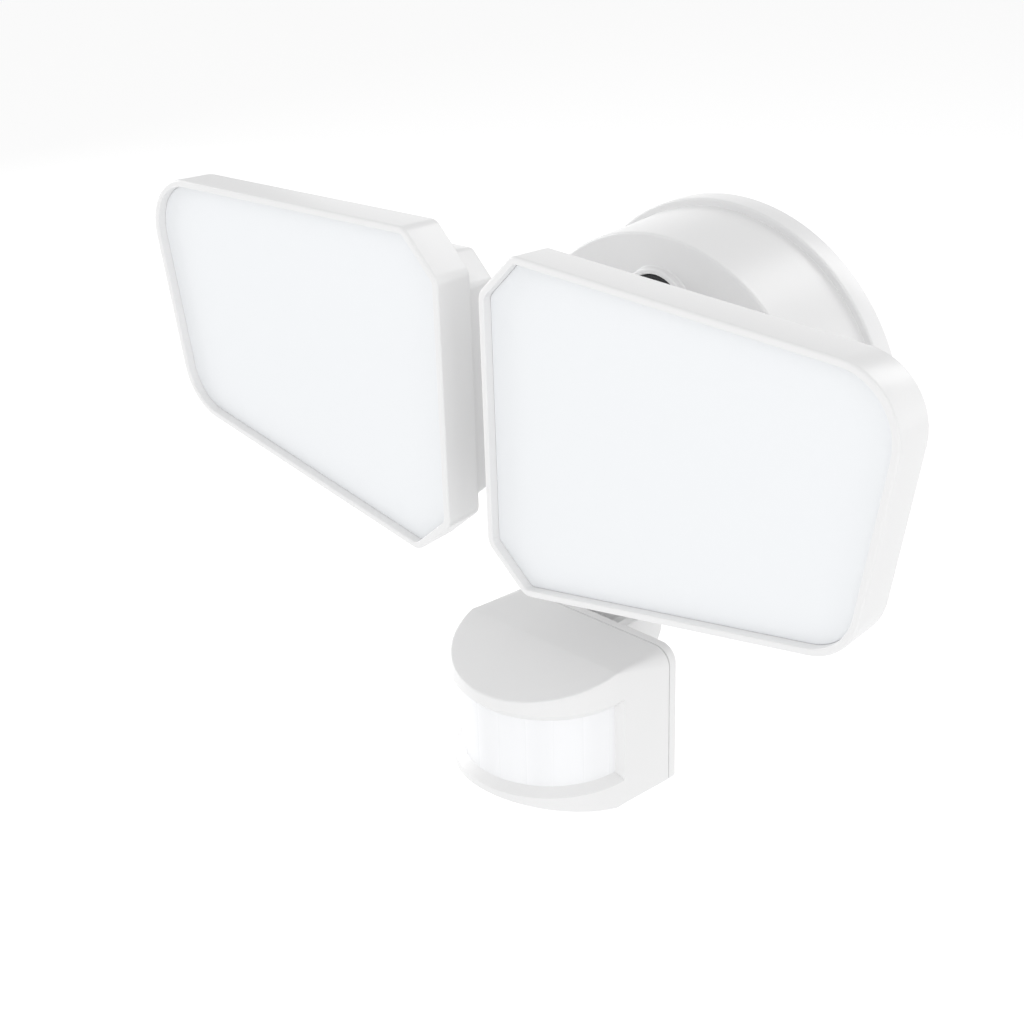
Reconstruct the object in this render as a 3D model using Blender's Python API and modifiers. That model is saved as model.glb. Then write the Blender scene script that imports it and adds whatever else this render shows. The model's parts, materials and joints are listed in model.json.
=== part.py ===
"""Twin-head LED security floodlight with a motion sensor, in metres, +Z up.

The wall is the plane y = 0, the canopy's axis is the Y axis, and the light faces -Y.
"""

import math

import bmesh
import bpy
from mathutils import Matrix, Vector

MM = 0.001
GAP = 0.3 * MM  # between pieces that touch

# Canopy: a round dish against the wall
CANOPY_RADIUS = 60.0 * MM
CANOPY_DEPTH = 37.4 * MM  # wall to front face
CANOPY_WALL = 2.6 * MM
FLANGE_THICKNESS = 7.2 * MM
FLANGE_STEP = 2.3 * MM  # flange beyond the drum
DRUM_DRAFT = 1.1 * MM  # radius lost from flange to face
FACE_CHAMFER = 1.2 * MM
GASKET_THICKNESS = 1.6 * MM
GASKET_WIDTH = 2.4 * MM

# Collars on the canopy's face, which the two arms come out of
COLLAR_RADIUS = 12.6 * MM
COLLAR_HEIGHT = 2.4 * MM
COLLAR_WALL = 1.7 * MM
LAMP_COLLAR_Z = 34.6 * MM
SENSOR_COLLAR_Z = -39.0 * MM
STEM_RADIUS = 9.0 * MM
NUT_RADIUS = 13.0 * MM
NUT_THICKNESS = 4.5 * MM

# Crossbar and the bolt that pulls the canopy against it
CROSSBAR_LENGTH = 101.0 * MM
CROSSBAR_WIDTH = 16.0 * MM
CROSSBAR_THICKNESS = 2.0 * MM
BOX_SCREW_SPACING = 88.9 * MM
BOX_SLOT_LENGTH = 10.0 * MM
BOX_SLOT_WIDTH = 4.6 * MM
BOLT_RADIUS = 2.5 * MM
BOLT_HEAD_RADIUS = 4.6 * MM
BOLT_HEAD_HEIGHT = 2.6 * MM

# Lamp arm: a stem with a cross tube that carries both heads
CROSS_TUBE_Y = -62.0 * MM
CROSS_TUBE_Z = 26.0 * MM
CROSS_TUBE_RADIUS = 9.6 * MM
CROSS_TUBE_HALF = 27.0 * MM
KNUCKLE_WIDTH = 12.0 * MM
KNUCKLE_RADIUS = 10.4 * MM
TILT_BOLT_RADIUS = 3.0 * MM
TILT_KNOB_RADIUS = 6.6 * MM
TILT_KNOB_HEIGHT = 4.0 * MM
PAN_Y = -81.0 * MM
EYE_RADIUS = 7.0 * MM
EYE_HEIGHT = 9.0 * MM
EAR_THICKNESS = 4.0 * MM
PIN_RADIUS = 2.4 * MM
RUNNING = 0.25 * MM  # radial clearance of a pin that turns

# Lamp heads: a chamfered trapezium, u outwards from the inner edge, v up from mid height
HEAD_FRONT_Y = -117.0 * MM
HEAD_CENTRE_Z = CROSS_TUBE_Z
HEAD_WIDTH = 120.0 * MM
HEAD_HEIGHT = 96.5 * MM
HEAD_DEPTH = 12.5 * MM
HEAD_SPLIT = 7.3 * MM  # inner edge from the middle plane
HEAD_TOP_FALL = 0.037
HEAD_BOTTOM_RISE = 0.180
HEAD_SIDE_LEAN = 0.173
CHAMFER_TOP = (12.0 * MM, 12.6 * MM)  # along u, along v
CHAMFER_BOTTOM = (13.4 * MM, 14.0 * MM)
CHAMFER_RADIUS = 4.5 * MM
CORNER_RADIUS = 17.0 * MM
HEAD_DRAFT = 0.7 * MM
LIP_WIDTH = 2.05 * MM
LIP_DEPTH = 2.5 * MM
HEAD_PANEL = 2.0 * MM
DIFFUSER_THICKNESS = 2.0 * MM
SEAL_THICKNESS = 1.0 * MM
SEAL_WIDTH = 2.6 * MM
REFLECTOR_WIDTH = 4.5 * MM
BOARD_THICKNESS = 1.6 * MM

# Rear housing of each head, set in from the head's edges
REAR_DEPTH = 11.5 * MM
REAR_DRAFT = 2.0 * MM
REAR_WALL = 2.0 * MM
REAR_INSETS = {"inner": 2.0, "top": 9.0, "outer": 8.0, "bottom": 8.0, "chamfer": 5.0}
REAR_CORNER_RADIUS = 8.0 * MM
REAR_CHAMFER_RADIUS = 4.0 * MM
SCREW_INSET = 10.0 * MM  # screws from the rear housing's edges
SCREW_RADIUS = 1.6 * MM
SCREW_HEAD_RADIUS = 3.0 * MM
SCREW_HEAD_HEIGHT = 1.9 * MM

# Motion sensor: a D in plan, whose top and bottom fall away in front of a crease
SENSOR_WIDTH = 58.6 * MM
SENSOR_SEAM_WIDTH = 62.4 * MM
SENSOR_SEAM_Y = -69.2 * MM
SENSOR_ARC_Y = -86.0 * MM  # centre of the round front
SENSOR_CREASE_Y = -89.3 * MM
SENSOR_MID_Z = -75.3 * MM
SENSOR_CREASE_HEIGHT = 45.6 * MM
SENSOR_SEAM_HEIGHT = 44.4 * MM
SENSOR_SLOPE = 0.235
SENSOR_WALL = 2.2 * MM
SENSOR_CORNER_RADIUS = 5.5 * MM
SENSOR_BOTTOM_RADIUS = 1.0 * MM
SENSOR_CREASE_RADIUS = 0.4 * MM
SENSOR_PLATE = 3.2 * MM
SENSOR_SEAM_GAP = 0.4 * MM
WINDOW_HEIGHT = 27.2 * MM
WINDOW_MID_Z = SENSOR_MID_Z - 0.5 * MM
WINDOW_START_Y = -86.6 * MM
LENS_THICKNESS = 1.2 * MM
LENS_OVERLAP = 1.2 * MM
SENSOR_BOARD_Y = -80.0 * MM
PIR_RADIUS = 4.6 * MM
PIR_HEIGHT = 4.2 * MM
DIAL_RADIUS = 4.0 * MM
DIAL_X = 10.0 * MM
DIAL_Y = -77.0 * MM
DIAL_HEIGHT = 7.0 * MM

# Sensor arm: it pans under an eye on the stem, and goes down to the tilt pin
HUB_Y = -52.5 * MM
HUB_RADIUS = 10.4 * MM
HUB_HEIGHT = 11.0 * MM
DISC_HEIGHT = 5.0 * MM
NECK_RADIUS = 9.4 * MM
TILT_Y = -55.5 * MM
TILT_Z = -60.0 * MM
LUG_WIDTH = 16.0 * MM
LUG_RADIUS = 6.5 * MM
LUG_NECK_RADIUS = 6.0 * MM
CHEEK_WIDTH = 3.5 * MM
PIN_SKIN = 1.0 * MM  # cheek left over the blind end of the tilt pin

SEGMENTS = 28


def new_collection(name):
    collection = bpy.data.collections.new(name)
    bpy.context.scene.collection.children.link(collection)
    return collection


def clear_scene():
    for obj in list(bpy.data.objects):
        bpy.data.objects.remove(obj, do_unlink=True)
    for collection in list(bpy.data.collections):
        bpy.data.collections.remove(collection)


clear_scene()
PARTS = new_collection("security_floodlight")
CUTTERS = new_collection("cutters")


def material(name, colour, roughness, metallic=0.0):
    made = bpy.data.materials.new(name)
    made.use_nodes = True
    shader = made.node_tree.nodes["Principled BSDF"]
    shader.inputs["Base Color"].default_value = (*colour, 1.0)
    shader.inputs["Roughness"].default_value = roughness
    shader.inputs["Metallic"].default_value = metallic
    return made


WHITE = material("white_enamel", (0.88, 0.88, 0.88), 0.35)
WHITE_PLASTIC = material("white_plastic", (0.86, 0.86, 0.87), 0.4)
DIFFUSER = material("diffuser", (0.9, 0.91, 0.92), 0.55)
LENS = material("fresnel_lens", (0.93, 0.93, 0.95), 0.3)
RUBBER = material("black_rubber", (0.03, 0.03, 0.03), 0.8)
GREY_RUBBER = material("grey_rubber", (0.45, 0.45, 0.45), 0.7)
STEEL = material("zinc_plated_steel", (0.62, 0.62, 0.64), 0.35, 1.0)
BOARD = material("circuit_board", (0.05, 0.25, 0.12), 0.5)
WHITE_BOARD = material("led_board_white", (0.8, 0.8, 0.78), 0.5)
GREEN = material("green_screw", (0.05, 0.35, 0.1), 0.4, 0.6)
BLACK = material("black_plastic", (0.02, 0.02, 0.02), 0.5)


def keep(obj, look):
    """Puts a part in the collection with its material, shaded smooth except at its edges."""
    PARTS.objects.link(obj)
    obj.data.materials.append(look)
    if len(obj.data.polygons):
        obj.data.shade_smooth()
        obj.data.set_sharp_from_angle(angle=math.radians(35))
    return obj


def as_cutter(obj):
    CUTTERS.objects.link(obj)
    obj.hide_render = True
    obj.display_type = "WIRE"
    return obj


def ride(obj, pivot):
    """Parents obj to a pivot empty, so that its location still reads in world coordinates."""
    obj.parent = pivot
    obj.matrix_parent_inverse = Matrix.Translation(-Vector(pivot["at"]))
    return obj


def pivot_at(name, at, parent=None):
    pivot = bpy.data.objects.new(name, None)
    pivot.empty_display_size = 0.01
    pivot["at"] = at
    pivot.location = at
    PARTS.objects.link(pivot)
    if parent:
        ride(pivot, parent)
    return pivot


def toward(axis):
    """The rotation that takes +Z to an axis."""
    return Vector((0, 0, 1)).rotation_difference(Vector(axis)).to_euler()


def mesh_object(name, bm, at=(0, 0, 0), axis=(0, 0, 1)):
    mesh = bpy.data.meshes.new(name)
    bm.to_mesh(mesh)
    bm.free()
    obj = bpy.data.objects.new(name, mesh)
    obj.location = at
    obj.rotation_euler = toward(axis)
    return obj


def cylinder(name, radius, length, at, axis, segments=SEGMENTS, top_radius=None):
    """A cylinder or cone that starts at a point and runs along an axis."""
    bm = bmesh.new()
    top = radius if top_radius is None else top_radius
    bmesh.ops.create_cone(bm, cap_ends=True, segments=segments, radius1=radius, radius2=top, depth=length)
    bmesh.ops.translate(bm, verts=bm.verts, vec=(0, 0, length / 2))
    return mesh_object(name, bm, at, axis)


def box(name, low, high):
    bm = bmesh.new()
    bmesh.ops.create_cube(bm, size=1.0)
    size = [b - a for a, b in zip(low, high)]
    bmesh.ops.scale(bm, vec=size, verts=bm.verts)
    return mesh_object(name, bm, [(a + b) / 2 for a, b in zip(low, high)])


def turned(name, profile, at, axis, closed=False, segments=SEGMENTS):
    """A profile of (radius, height) points turned about an axis through a point."""
    bm = bmesh.new()
    points = [bm.verts.new((radius, 0, height)) for radius, height in profile]
    pairs = list(zip(points, points[1:]))
    if closed:
        pairs.append((points[-1], points[0]))
    for pair in pairs:
        bm.edges.new(pair)
    obj = mesh_object(name, bm, at, axis)
    screw = obj.modifiers.new("turn", "SCREW")
    screw.steps = segments
    screw.render_steps = segments
    screw.use_merge_vertices = True
    screw.merge_threshold = 0.00001
    screw.use_smooth_shade = True
    return obj


def bevel(obj, width, segments=1, degrees=50):
    made = obj.modifiers.new("edges", "BEVEL")
    made.width = width
    made.segments = segments
    made.limit_method = "ANGLE"
    made.angle_limit = math.radians(degrees)
    return obj


def combine(obj, other, operation):
    as_cutter(other)
    if obj.parent and not other.parent:
        ride(other, obj.parent)
    made = obj.modifiers.new(other.name, "BOOLEAN")
    made.operation = operation
    made.object = other
    return obj


def cut(obj, other):
    return combine(obj, other, "DIFFERENCE")


def fuse(obj, other):
    return combine(obj, other, "UNION")


def plate(name, outlines, front_y, back_y):
    """A flat plate in the XZ plane from a 2D curve: the first outline is its edge, others are holes."""
    curve = bpy.data.curves.new(name, "CURVE")
    curve.dimensions = "2D"
    curve.fill_mode = "BOTH"
    curve.extrude = (back_y - front_y) / 2
    for outline in outlines:
        spline = curve.splines.new("POLY")
        spline.points.add(len(outline) - 1)
        for point, (x, z) in zip(spline.points, outline):
            point.co = (x, z, 0, 1)
        spline.use_cyclic_u = True
    shape = bpy.data.objects.new(name, curve)
    shape.rotation_euler = (math.pi / 2, 0, 0)
    shape.location = (0, (front_y + back_y) / 2, 0)
    return curve_to_mesh(shape)


def slab(name, outline, low_z, high_z):
    """A flat plate in the XY plane, from a 2D curve."""
    curve = bpy.data.curves.new(name, "CURVE")
    curve.dimensions = "2D"
    curve.fill_mode = "BOTH"
    curve.extrude = (high_z - low_z) / 2
    spline = curve.splines.new("POLY")
    spline.points.add(len(outline) - 1)
    for point, (x, y) in zip(spline.points, outline):
        point.co = (x, y, 0, 1)
    spline.use_cyclic_u = True
    shape = bpy.data.objects.new(name, curve)
    shape.location = (0, 0, (low_z + high_z) / 2)
    return curve_to_mesh(shape)


def curve_to_mesh(shape):
    bpy.context.scene.collection.objects.link(shape)
    bpy.context.view_layer.update()
    graph = bpy.context.evaluated_depsgraph_get()
    mesh = bpy.data.meshes.new_from_object(shape.evaluated_get(graph))
    bm = bmesh.new()
    bm.from_mesh(mesh)
    bmesh.ops.remove_doubles(bm, verts=bm.verts, dist=0.00001)
    bmesh.ops.recalc_face_normals(bm, faces=bm.faces)
    bm.to_mesh(mesh)
    bm.free()
    name = shape.name
    place = shape.matrix_world.copy()
    curve = shape.data
    bpy.data.objects.remove(shape, do_unlink=True)
    bpy.data.curves.remove(curve)
    obj = bpy.data.objects.new(name, mesh)
    obj.matrix_world = place
    return obj


def loft(name, rings):
    """A closed solid through rings of equal point counts, capped at both ends."""
    bm = bmesh.new()
    rows = [[bm.verts.new(point) for point in ring] for ring in rings]
    count = len(rings[0])
    for low, high in zip(rows, rows[1:]):
        for i in range(count):
            j = (i + 1) % count
            bm.faces.new((low[i], low[j], high[j], high[i]))
    bm.faces.new(rows[0])
    bm.faces.new(rows[-1])
    bmesh.ops.recalc_face_normals(bm, faces=bm.faces)
    return mesh_object(name, bm)


def rounded(corners, radii, steps):
    """The polygon's points with an arc of the given radius at each corner, always the same count."""
    points = []
    count = len(corners)
    for i, radius in enumerate(radii):
        here = Vector(corners[i])
        before = (Vector(corners[i - 1]) - here).normalized()
        after = (Vector(corners[(i + 1) % count]) - here).normalized()
        half = before.angle(after) / 2
        reach = radius / math.tan(half)
        centre = here + (before + after).normalized() * radius / math.sin(half)
        start = here + before * reach - centre
        sweep = start.angle_signed(here + after * reach - centre)
        for k in range(steps + 1):
            angle = -sweep * k / steps
            turned_by = Matrix.Rotation(angle, 2)
            points.append(tuple(centre + turned_by @ start))
    return points


def head_corners(insets):
    """The head outline's corners in (u, v), each edge moved inwards by its inset."""
    top = HEAD_HEIGHT / 2
    cut_u, cut_v = CHAMFER_TOP
    low_u, low_v = CHAMFER_BOTTOM
    edges = [
        ((0, -top + low_v), (0, top - cut_v), insets["inner"]),
        ((0, top - cut_v), (cut_u, top - HEAD_TOP_FALL * cut_u), insets["chamfer"]),
        ((0, top), (HEAD_WIDTH, top - HEAD_TOP_FALL * HEAD_WIDTH), insets["top"]),
        ((HEAD_WIDTH + HEAD_SIDE_LEAN * top, top), (HEAD_WIDTH - HEAD_SIDE_LEAN * top, -top), insets["outer"]),
        ((HEAD_WIDTH, -top + HEAD_BOTTOM_RISE * HEAD_WIDTH), (0, -top), insets["bottom"]),
        ((low_u, -top + HEAD_BOTTOM_RISE * low_u), (0, -top + low_v), insets["chamfer"]),
    ]
    lines = []
    for start, end, inset in edges:
        along = (Vector(end) - Vector(start)).normalized()
        inwards = Vector((along.y, -along.x))
        lines.append((Vector(start) + inwards * inset, along))
    corners = []
    for (p, d), (q, e) in zip(lines, lines[1:] + lines[:1]):
        reach = (q - p).cross(e) / d.cross(e)
        corners.append(tuple(p + d * reach))
    return corners


def head_outline(side, insets, corner_radius, chamfer_radius, steps=3):
    """A head outline as (x, z) points, on the right for side 1 and mirrored for side -1."""
    if not isinstance(insets, dict):
        insets = dict.fromkeys(REAR_INSETS, insets)
    radii = [chamfer_radius, chamfer_radius, corner_radius, corner_radius, chamfer_radius, chamfer_radius]
    points = rounded(head_corners(insets), radii, steps)
    points = [(side * (HEAD_SPLIT + u), HEAD_CENTRE_Z + v) for u, v in points]
    return points[::-1] if side < 0 else points


def inset_outline(side, inset):
    return head_outline(side, inset, CORNER_RADIUS - inset, max(CHAMFER_RADIUS - inset, 1.0 * MM))


def rear_outline(side, more):
    insets = {edge: value * MM + more for edge, value in REAR_INSETS.items()}
    return head_outline(side, insets, REAR_CORNER_RADIUS, REAR_CHAMFER_RADIUS)


def at_y(outline, y):
    return [(x, y, z) for x, z in outline]


def screw(name, at, axis, length, look=None, radius=SCREW_RADIUS, head=SCREW_HEAD_RADIUS, high=SCREW_HEAD_HEIGHT):
    """A pan-head screw: the underside of its head is at a point, and its shank runs against the axis."""
    profile = [(0, high), (head * 0.6, high), (head, high * 0.5), (head, 0), (radius, 0), (radius, -length)]
    profile.append((0, -length))
    obj = keep(turned(name, profile, at, axis, segments=10), look or STEEL)
    top = Vector(at) + Vector(axis) * high
    width = head * 0.24
    reach = head * 1.1
    slot = box(name + "_slot", (-reach / 2, -width / 2, -high * 0.45), (reach / 2, width / 2, high))
    slot.location = top
    slot.rotation_euler = toward(axis)
    return cut(obj, slot)


# Canopy

DRUM_RADIUS = CANOPY_RADIUS - FLANGE_STEP
FACE_RADIUS = DRUM_RADIUS - DRUM_DRAFT
FLANGE_BACK = GAP
FLANGE_FRONT = FLANGE_BACK + FLANGE_THICKNESS
FACE_INNER = CANOPY_DEPTH - CANOPY_WALL
OUT = (0, -1, 0)  # from the wall outwards


def canopy():
    profile = [
        (0, CANOPY_DEPTH),
        (FACE_RADIUS - FACE_CHAMFER, CANOPY_DEPTH),
        (FACE_RADIUS, CANOPY_DEPTH - FACE_CHAMFER),
        (DRUM_RADIUS, FLANGE_FRONT),
        (CANOPY_RADIUS - FACE_CHAMFER, FLANGE_FRONT),
        (CANOPY_RADIUS, FLANGE_FRONT - FACE_CHAMFER),
        (CANOPY_RADIUS, FLANGE_BACK),
        (DRUM_RADIUS - CANOPY_WALL, FLANGE_BACK),
        (FACE_RADIUS - CANOPY_WALL, FACE_INNER),
        (0, FACE_INNER),
    ]
    shell = keep(turned("canopy_shell", profile, (0, 0, 0), OUT, segments=48), WHITE)
    for label, z in (("lamp", LAMP_COLLAR_Z), ("sensor", SENSOR_COLLAR_Z)):
        start = (0, -FACE_INNER - CANOPY_WALL / 2, z)
        collar = cylinder(label + "_collar", COLLAR_RADIUS, CANOPY_WALL / 2 + COLLAR_HEIGHT, start, OUT)
        fuse(shell, collar)
        well = (0, -CANOPY_DEPTH, z)
        cut(shell, cylinder(label + "_well", COLLAR_RADIUS - COLLAR_WALL, COLLAR_HEIGHT * 2, well, OUT))
        hole = (0, -FACE_INNER + CANOPY_WALL, z)
        cut(shell, cylinder(label + "_hole", STEM_RADIUS + GAP, CANOPY_WALL * 4, hole, OUT, 24))
    centre = (0, -FACE_INNER + CANOPY_WALL, 0)
    cut(shell, cylinder("bolt_hole", BOLT_RADIUS + GAP, CANOPY_WALL * 3, centre, OUT, 12))


def wall_gasket():
    outer = DRUM_RADIUS - CANOPY_WALL - GAP
    inner = outer - GASKET_WIDTH
    profile = [(outer, GASKET_THICKNESS), (outer, 0), (inner, 0), (inner, GASKET_THICKNESS)]
    keep(turned("wall_gasket", profile, (0, 0, 0), OUT, closed=True, segments=48), GREY_RUBBER)


def slot_outline(x, length, width, steps=4):
    """A round-ended slot along X, centred at x."""
    reach = (length - width) / 2
    points = []
    for centre, start in ((x + reach, -math.pi / 2), (x - reach, math.pi / 2)):
        for k in range(steps + 1):
            angle = start + math.pi * k / steps
            points.append((centre + width / 2 * math.cos(angle), width / 2 * math.sin(angle)))
    return points


def circle_outline(x, z, radius, steps=12):
    turns = [2 * math.pi * k / steps for k in range(steps)]
    return [(x + radius * math.cos(a), z + radius * math.sin(a)) for a in turns]


GROUND_X = 20.0 * MM


def crossbar():
    half = CROSSBAR_LENGTH / 2
    side = CROSSBAR_WIDTH / 2
    corners = [(-half, -side), (-half, side), (half, side), (half, -side)]
    edge = rounded(corners, [3 * MM] * 4, 3)
    holes = [slot_outline(s * BOX_SCREW_SPACING / 2, BOX_SLOT_LENGTH, BOX_SLOT_WIDTH) for s in (-1, 1)]
    holes.append(circle_outline(0, 0, BOLT_RADIUS + GAP))
    holes.append(circle_outline(GROUND_X, 0, SCREW_RADIUS + GAP))
    keep(plate("crossbar", [edge] + holes, -GAP - CROSSBAR_THICKNESS, -GAP), STEEL)
    front = -GAP - CROSSBAR_THICKNESS - GAP
    screw("ground_screw", (GROUND_X, front, 0), OUT, CROSSBAR_THICKNESS + GAP, GREEN)


def mounting_bolt():
    top = (0, -CANOPY_DEPTH - GAP, 0)
    length = CANOPY_DEPTH - CROSSBAR_THICKNESS / 2
    screw("mounting_bolt", top, OUT, length, STEEL, BOLT_RADIUS, BOLT_HEAD_RADIUS, BOLT_HEAD_HEIGHT)
    inner = BOLT_HEAD_RADIUS + GAP
    outer = inner + 1.6 * MM
    high = BOLT_HEAD_HEIGHT + GAP * 2
    profile = [
        (0, high + 1.4 * MM),
        (outer * 0.55, high + 1.2 * MM),
        (outer * 0.88, high + 0.3 * MM),
        (outer, high - 1.0 * MM),
        (outer, GAP),
        (inner, GAP),
        (inner, high),
        (0, high),
    ]
    keep(turned("bolt_cap", profile, (0, -CANOPY_DEPTH, 0), OUT, segments=20), WHITE_PLASTIC)


def hex_nut(name, z):
    """The locknut on a stem, against the inside of the canopy's face."""
    start = (0, -FACE_INNER + GAP, z)
    nut = keep(cylinder(name, NUT_RADIUS, NUT_THICKNESS, start, (0, 1, 0), 6), STEEL)
    bore = (0, -FACE_INNER - NUT_THICKNESS, z)
    cut(nut, cylinder(name + "_bore", STEM_RADIUS + GAP, NUT_THICKNESS * 4, bore, (0, 1, 0), 20))


def stem_seal(name, z):
    """The rubber ring at the bottom of a collar's well."""
    outer = COLLAR_RADIUS - COLLAR_WALL - GAP
    inner = STEM_RADIUS + GAP
    low = CANOPY_DEPTH + GAP
    high = low + 1.4 * MM
    profile = [(outer, high), (outer, low), (inner, low), (inner, high)]
    keep(turned(name, profile, (0, 0, z), OUT, closed=True, segments=20), RUBBER)


def electronics():
    face = -FACE_INNER + GAP
    driver = keep(box("led_driver", (-46 * MM, face, -18 * MM), (-18 * MM, -9 * MM, 24 * MM)), BLACK)
    bevel(driver, 1.2 * MM)
    block = keep(box("terminal_block", (19 * MM, face, -11 * MM), (43 * MM, face + 14 * MM, 15 * MM)), WHITE_PLASTIC)
    for i in range(3):
        z = (-7 + 9 * i) * MM
        mouth = (31 * MM, face + 8 * MM, z)
        cut(block, cylinder(f"terminal_{i}", 2.4 * MM, 20 * MM, mouth, (0, 1, 0), 10))


# Lamp arm and heads


def bent_tube(name, radius, path, segments=20):
    """A solid round bar along a path of (y, z) points in the middle plane."""
    points = [Vector((0, y, z)) for y, z in path]
    rings = []
    for i, point in enumerate(points):
        along = (points[min(i + 1, len(points) - 1)] - points[max(i - 1, 0)]).normalized()
        across = along.cross(Vector((1, 0, 0)))
        turns = [2 * math.pi * k / segments for k in range(segments)]
        rings.append([point + radius * (Vector((math.cos(a), 0, 0)) + across * math.sin(a)) for a in turns])
    return loft(name, rings)


def lamp_arm():
    """A bent stem through the upper collar, with a cross tube bored for the tilt bolts."""
    start = -FACE_INNER + NUT_THICKNESS + 2 * GAP
    clear = -CANOPY_DEPTH - COLLAR_HEIGHT
    bend = CROSS_TUBE_Y - clear
    path = [(start, LAMP_COLLAR_Z)]
    for k in range(5):
        share = k / 4
        fall = share * share * (3 - 2 * share)
        path.append((clear + bend * share, LAMP_COLLAR_Z + (CROSS_TUBE_Z - LAMP_COLLAR_Z) * fall))
    arm = keep(bent_tube("lamp_arm", STEM_RADIUS, path), WHITE)
    left = (-CROSS_TUBE_HALF, CROSS_TUBE_Y, CROSS_TUBE_Z)
    tube = bevel(cylinder("cross_tube", CROSS_TUBE_RADIUS, CROSS_TUBE_HALF * 2, left, (1, 0, 0), 24), 0.8 * MM)
    fuse(arm, tube)
    for side in (-1, 1):
        mouth = (side * (CROSS_TUBE_HALF + 1 * MM), CROSS_TUBE_Y, CROSS_TUBE_Z)
        bore = cylinder(f"tilt_bore_{side}", TILT_BOLT_RADIUS + GAP, 17 * MM, mouth, (-side, 0, 0), 16)
        cut(arm, bore)
    return arm


def knuckle(prefix, side, pivot):
    """A hub on the cross tube's end, with an eye in front for the pan pin."""
    inner = CROSS_TUBE_HALF + GAP
    start = (side * inner, CROSS_TUBE_Y, CROSS_TUBE_Z)
    hub = keep(cylinder(prefix + "_knuckle", KNUCKLE_RADIUS, KNUCKLE_WIDTH, start, (side, 0, 0), 24), WHITE)
    ride(hub, pivot)
    bevel(hub, 0.8 * MM)
    x = side * (inner + KNUCKLE_WIDTH / 2)
    bottom = CROSS_TUBE_Z - EYE_HEIGHT / 2
    half = 4.6 * MM
    fuse(hub, box(prefix + "_tongue", (x - half, PAN_Y, bottom), (x + half, CROSS_TUBE_Y - 5 * MM, bottom + EYE_HEIGHT)))
    fuse(hub, cylinder(prefix + "_eye", EYE_RADIUS, EYE_HEIGHT, (x, PAN_Y, bottom), (0, 0, 1), 20))
    low = (x, PAN_Y, bottom - 5 * MM)
    cut(hub, cylinder(prefix + "_eye_bore", PIN_RADIUS + RUNNING, EYE_HEIGHT * 3, low, (0, 0, 1), 16))
    mouth = (side * (inner - 5 * MM), CROSS_TUBE_Y, CROSS_TUBE_Z)
    cut(hub, cylinder(prefix + "_hub_bore", TILT_BOLT_RADIUS + RUNNING, 30 * MM, mouth, (side, 0, 0), 16))
    return x


def tilt_bolt(prefix, side):
    """The knob-headed bolt that clamps a knuckle to the cross tube."""
    seat = side * (CROSS_TUBE_HALF + 2 * GAP + KNUCKLE_WIDTH)
    at = (seat, CROSS_TUBE_Y, CROSS_TUBE_Z)
    high = TILT_KNOB_HEIGHT
    profile = [
        (0, high),
        (TILT_KNOB_RADIUS - 1 * MM, high),
        (TILT_KNOB_RADIUS, high - 1 * MM),
        (TILT_KNOB_RADIUS, 0),
        (TILT_BOLT_RADIUS, 0),
        (TILT_BOLT_RADIUS, -KNUCKLE_WIDTH - 12 * MM),
        (0, -KNUCKLE_WIDTH - 12 * MM),
    ]
    keep(turned(prefix + "_tilt_bolt", profile, at, (side, 0, 0), segments=16), STEEL)


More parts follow.
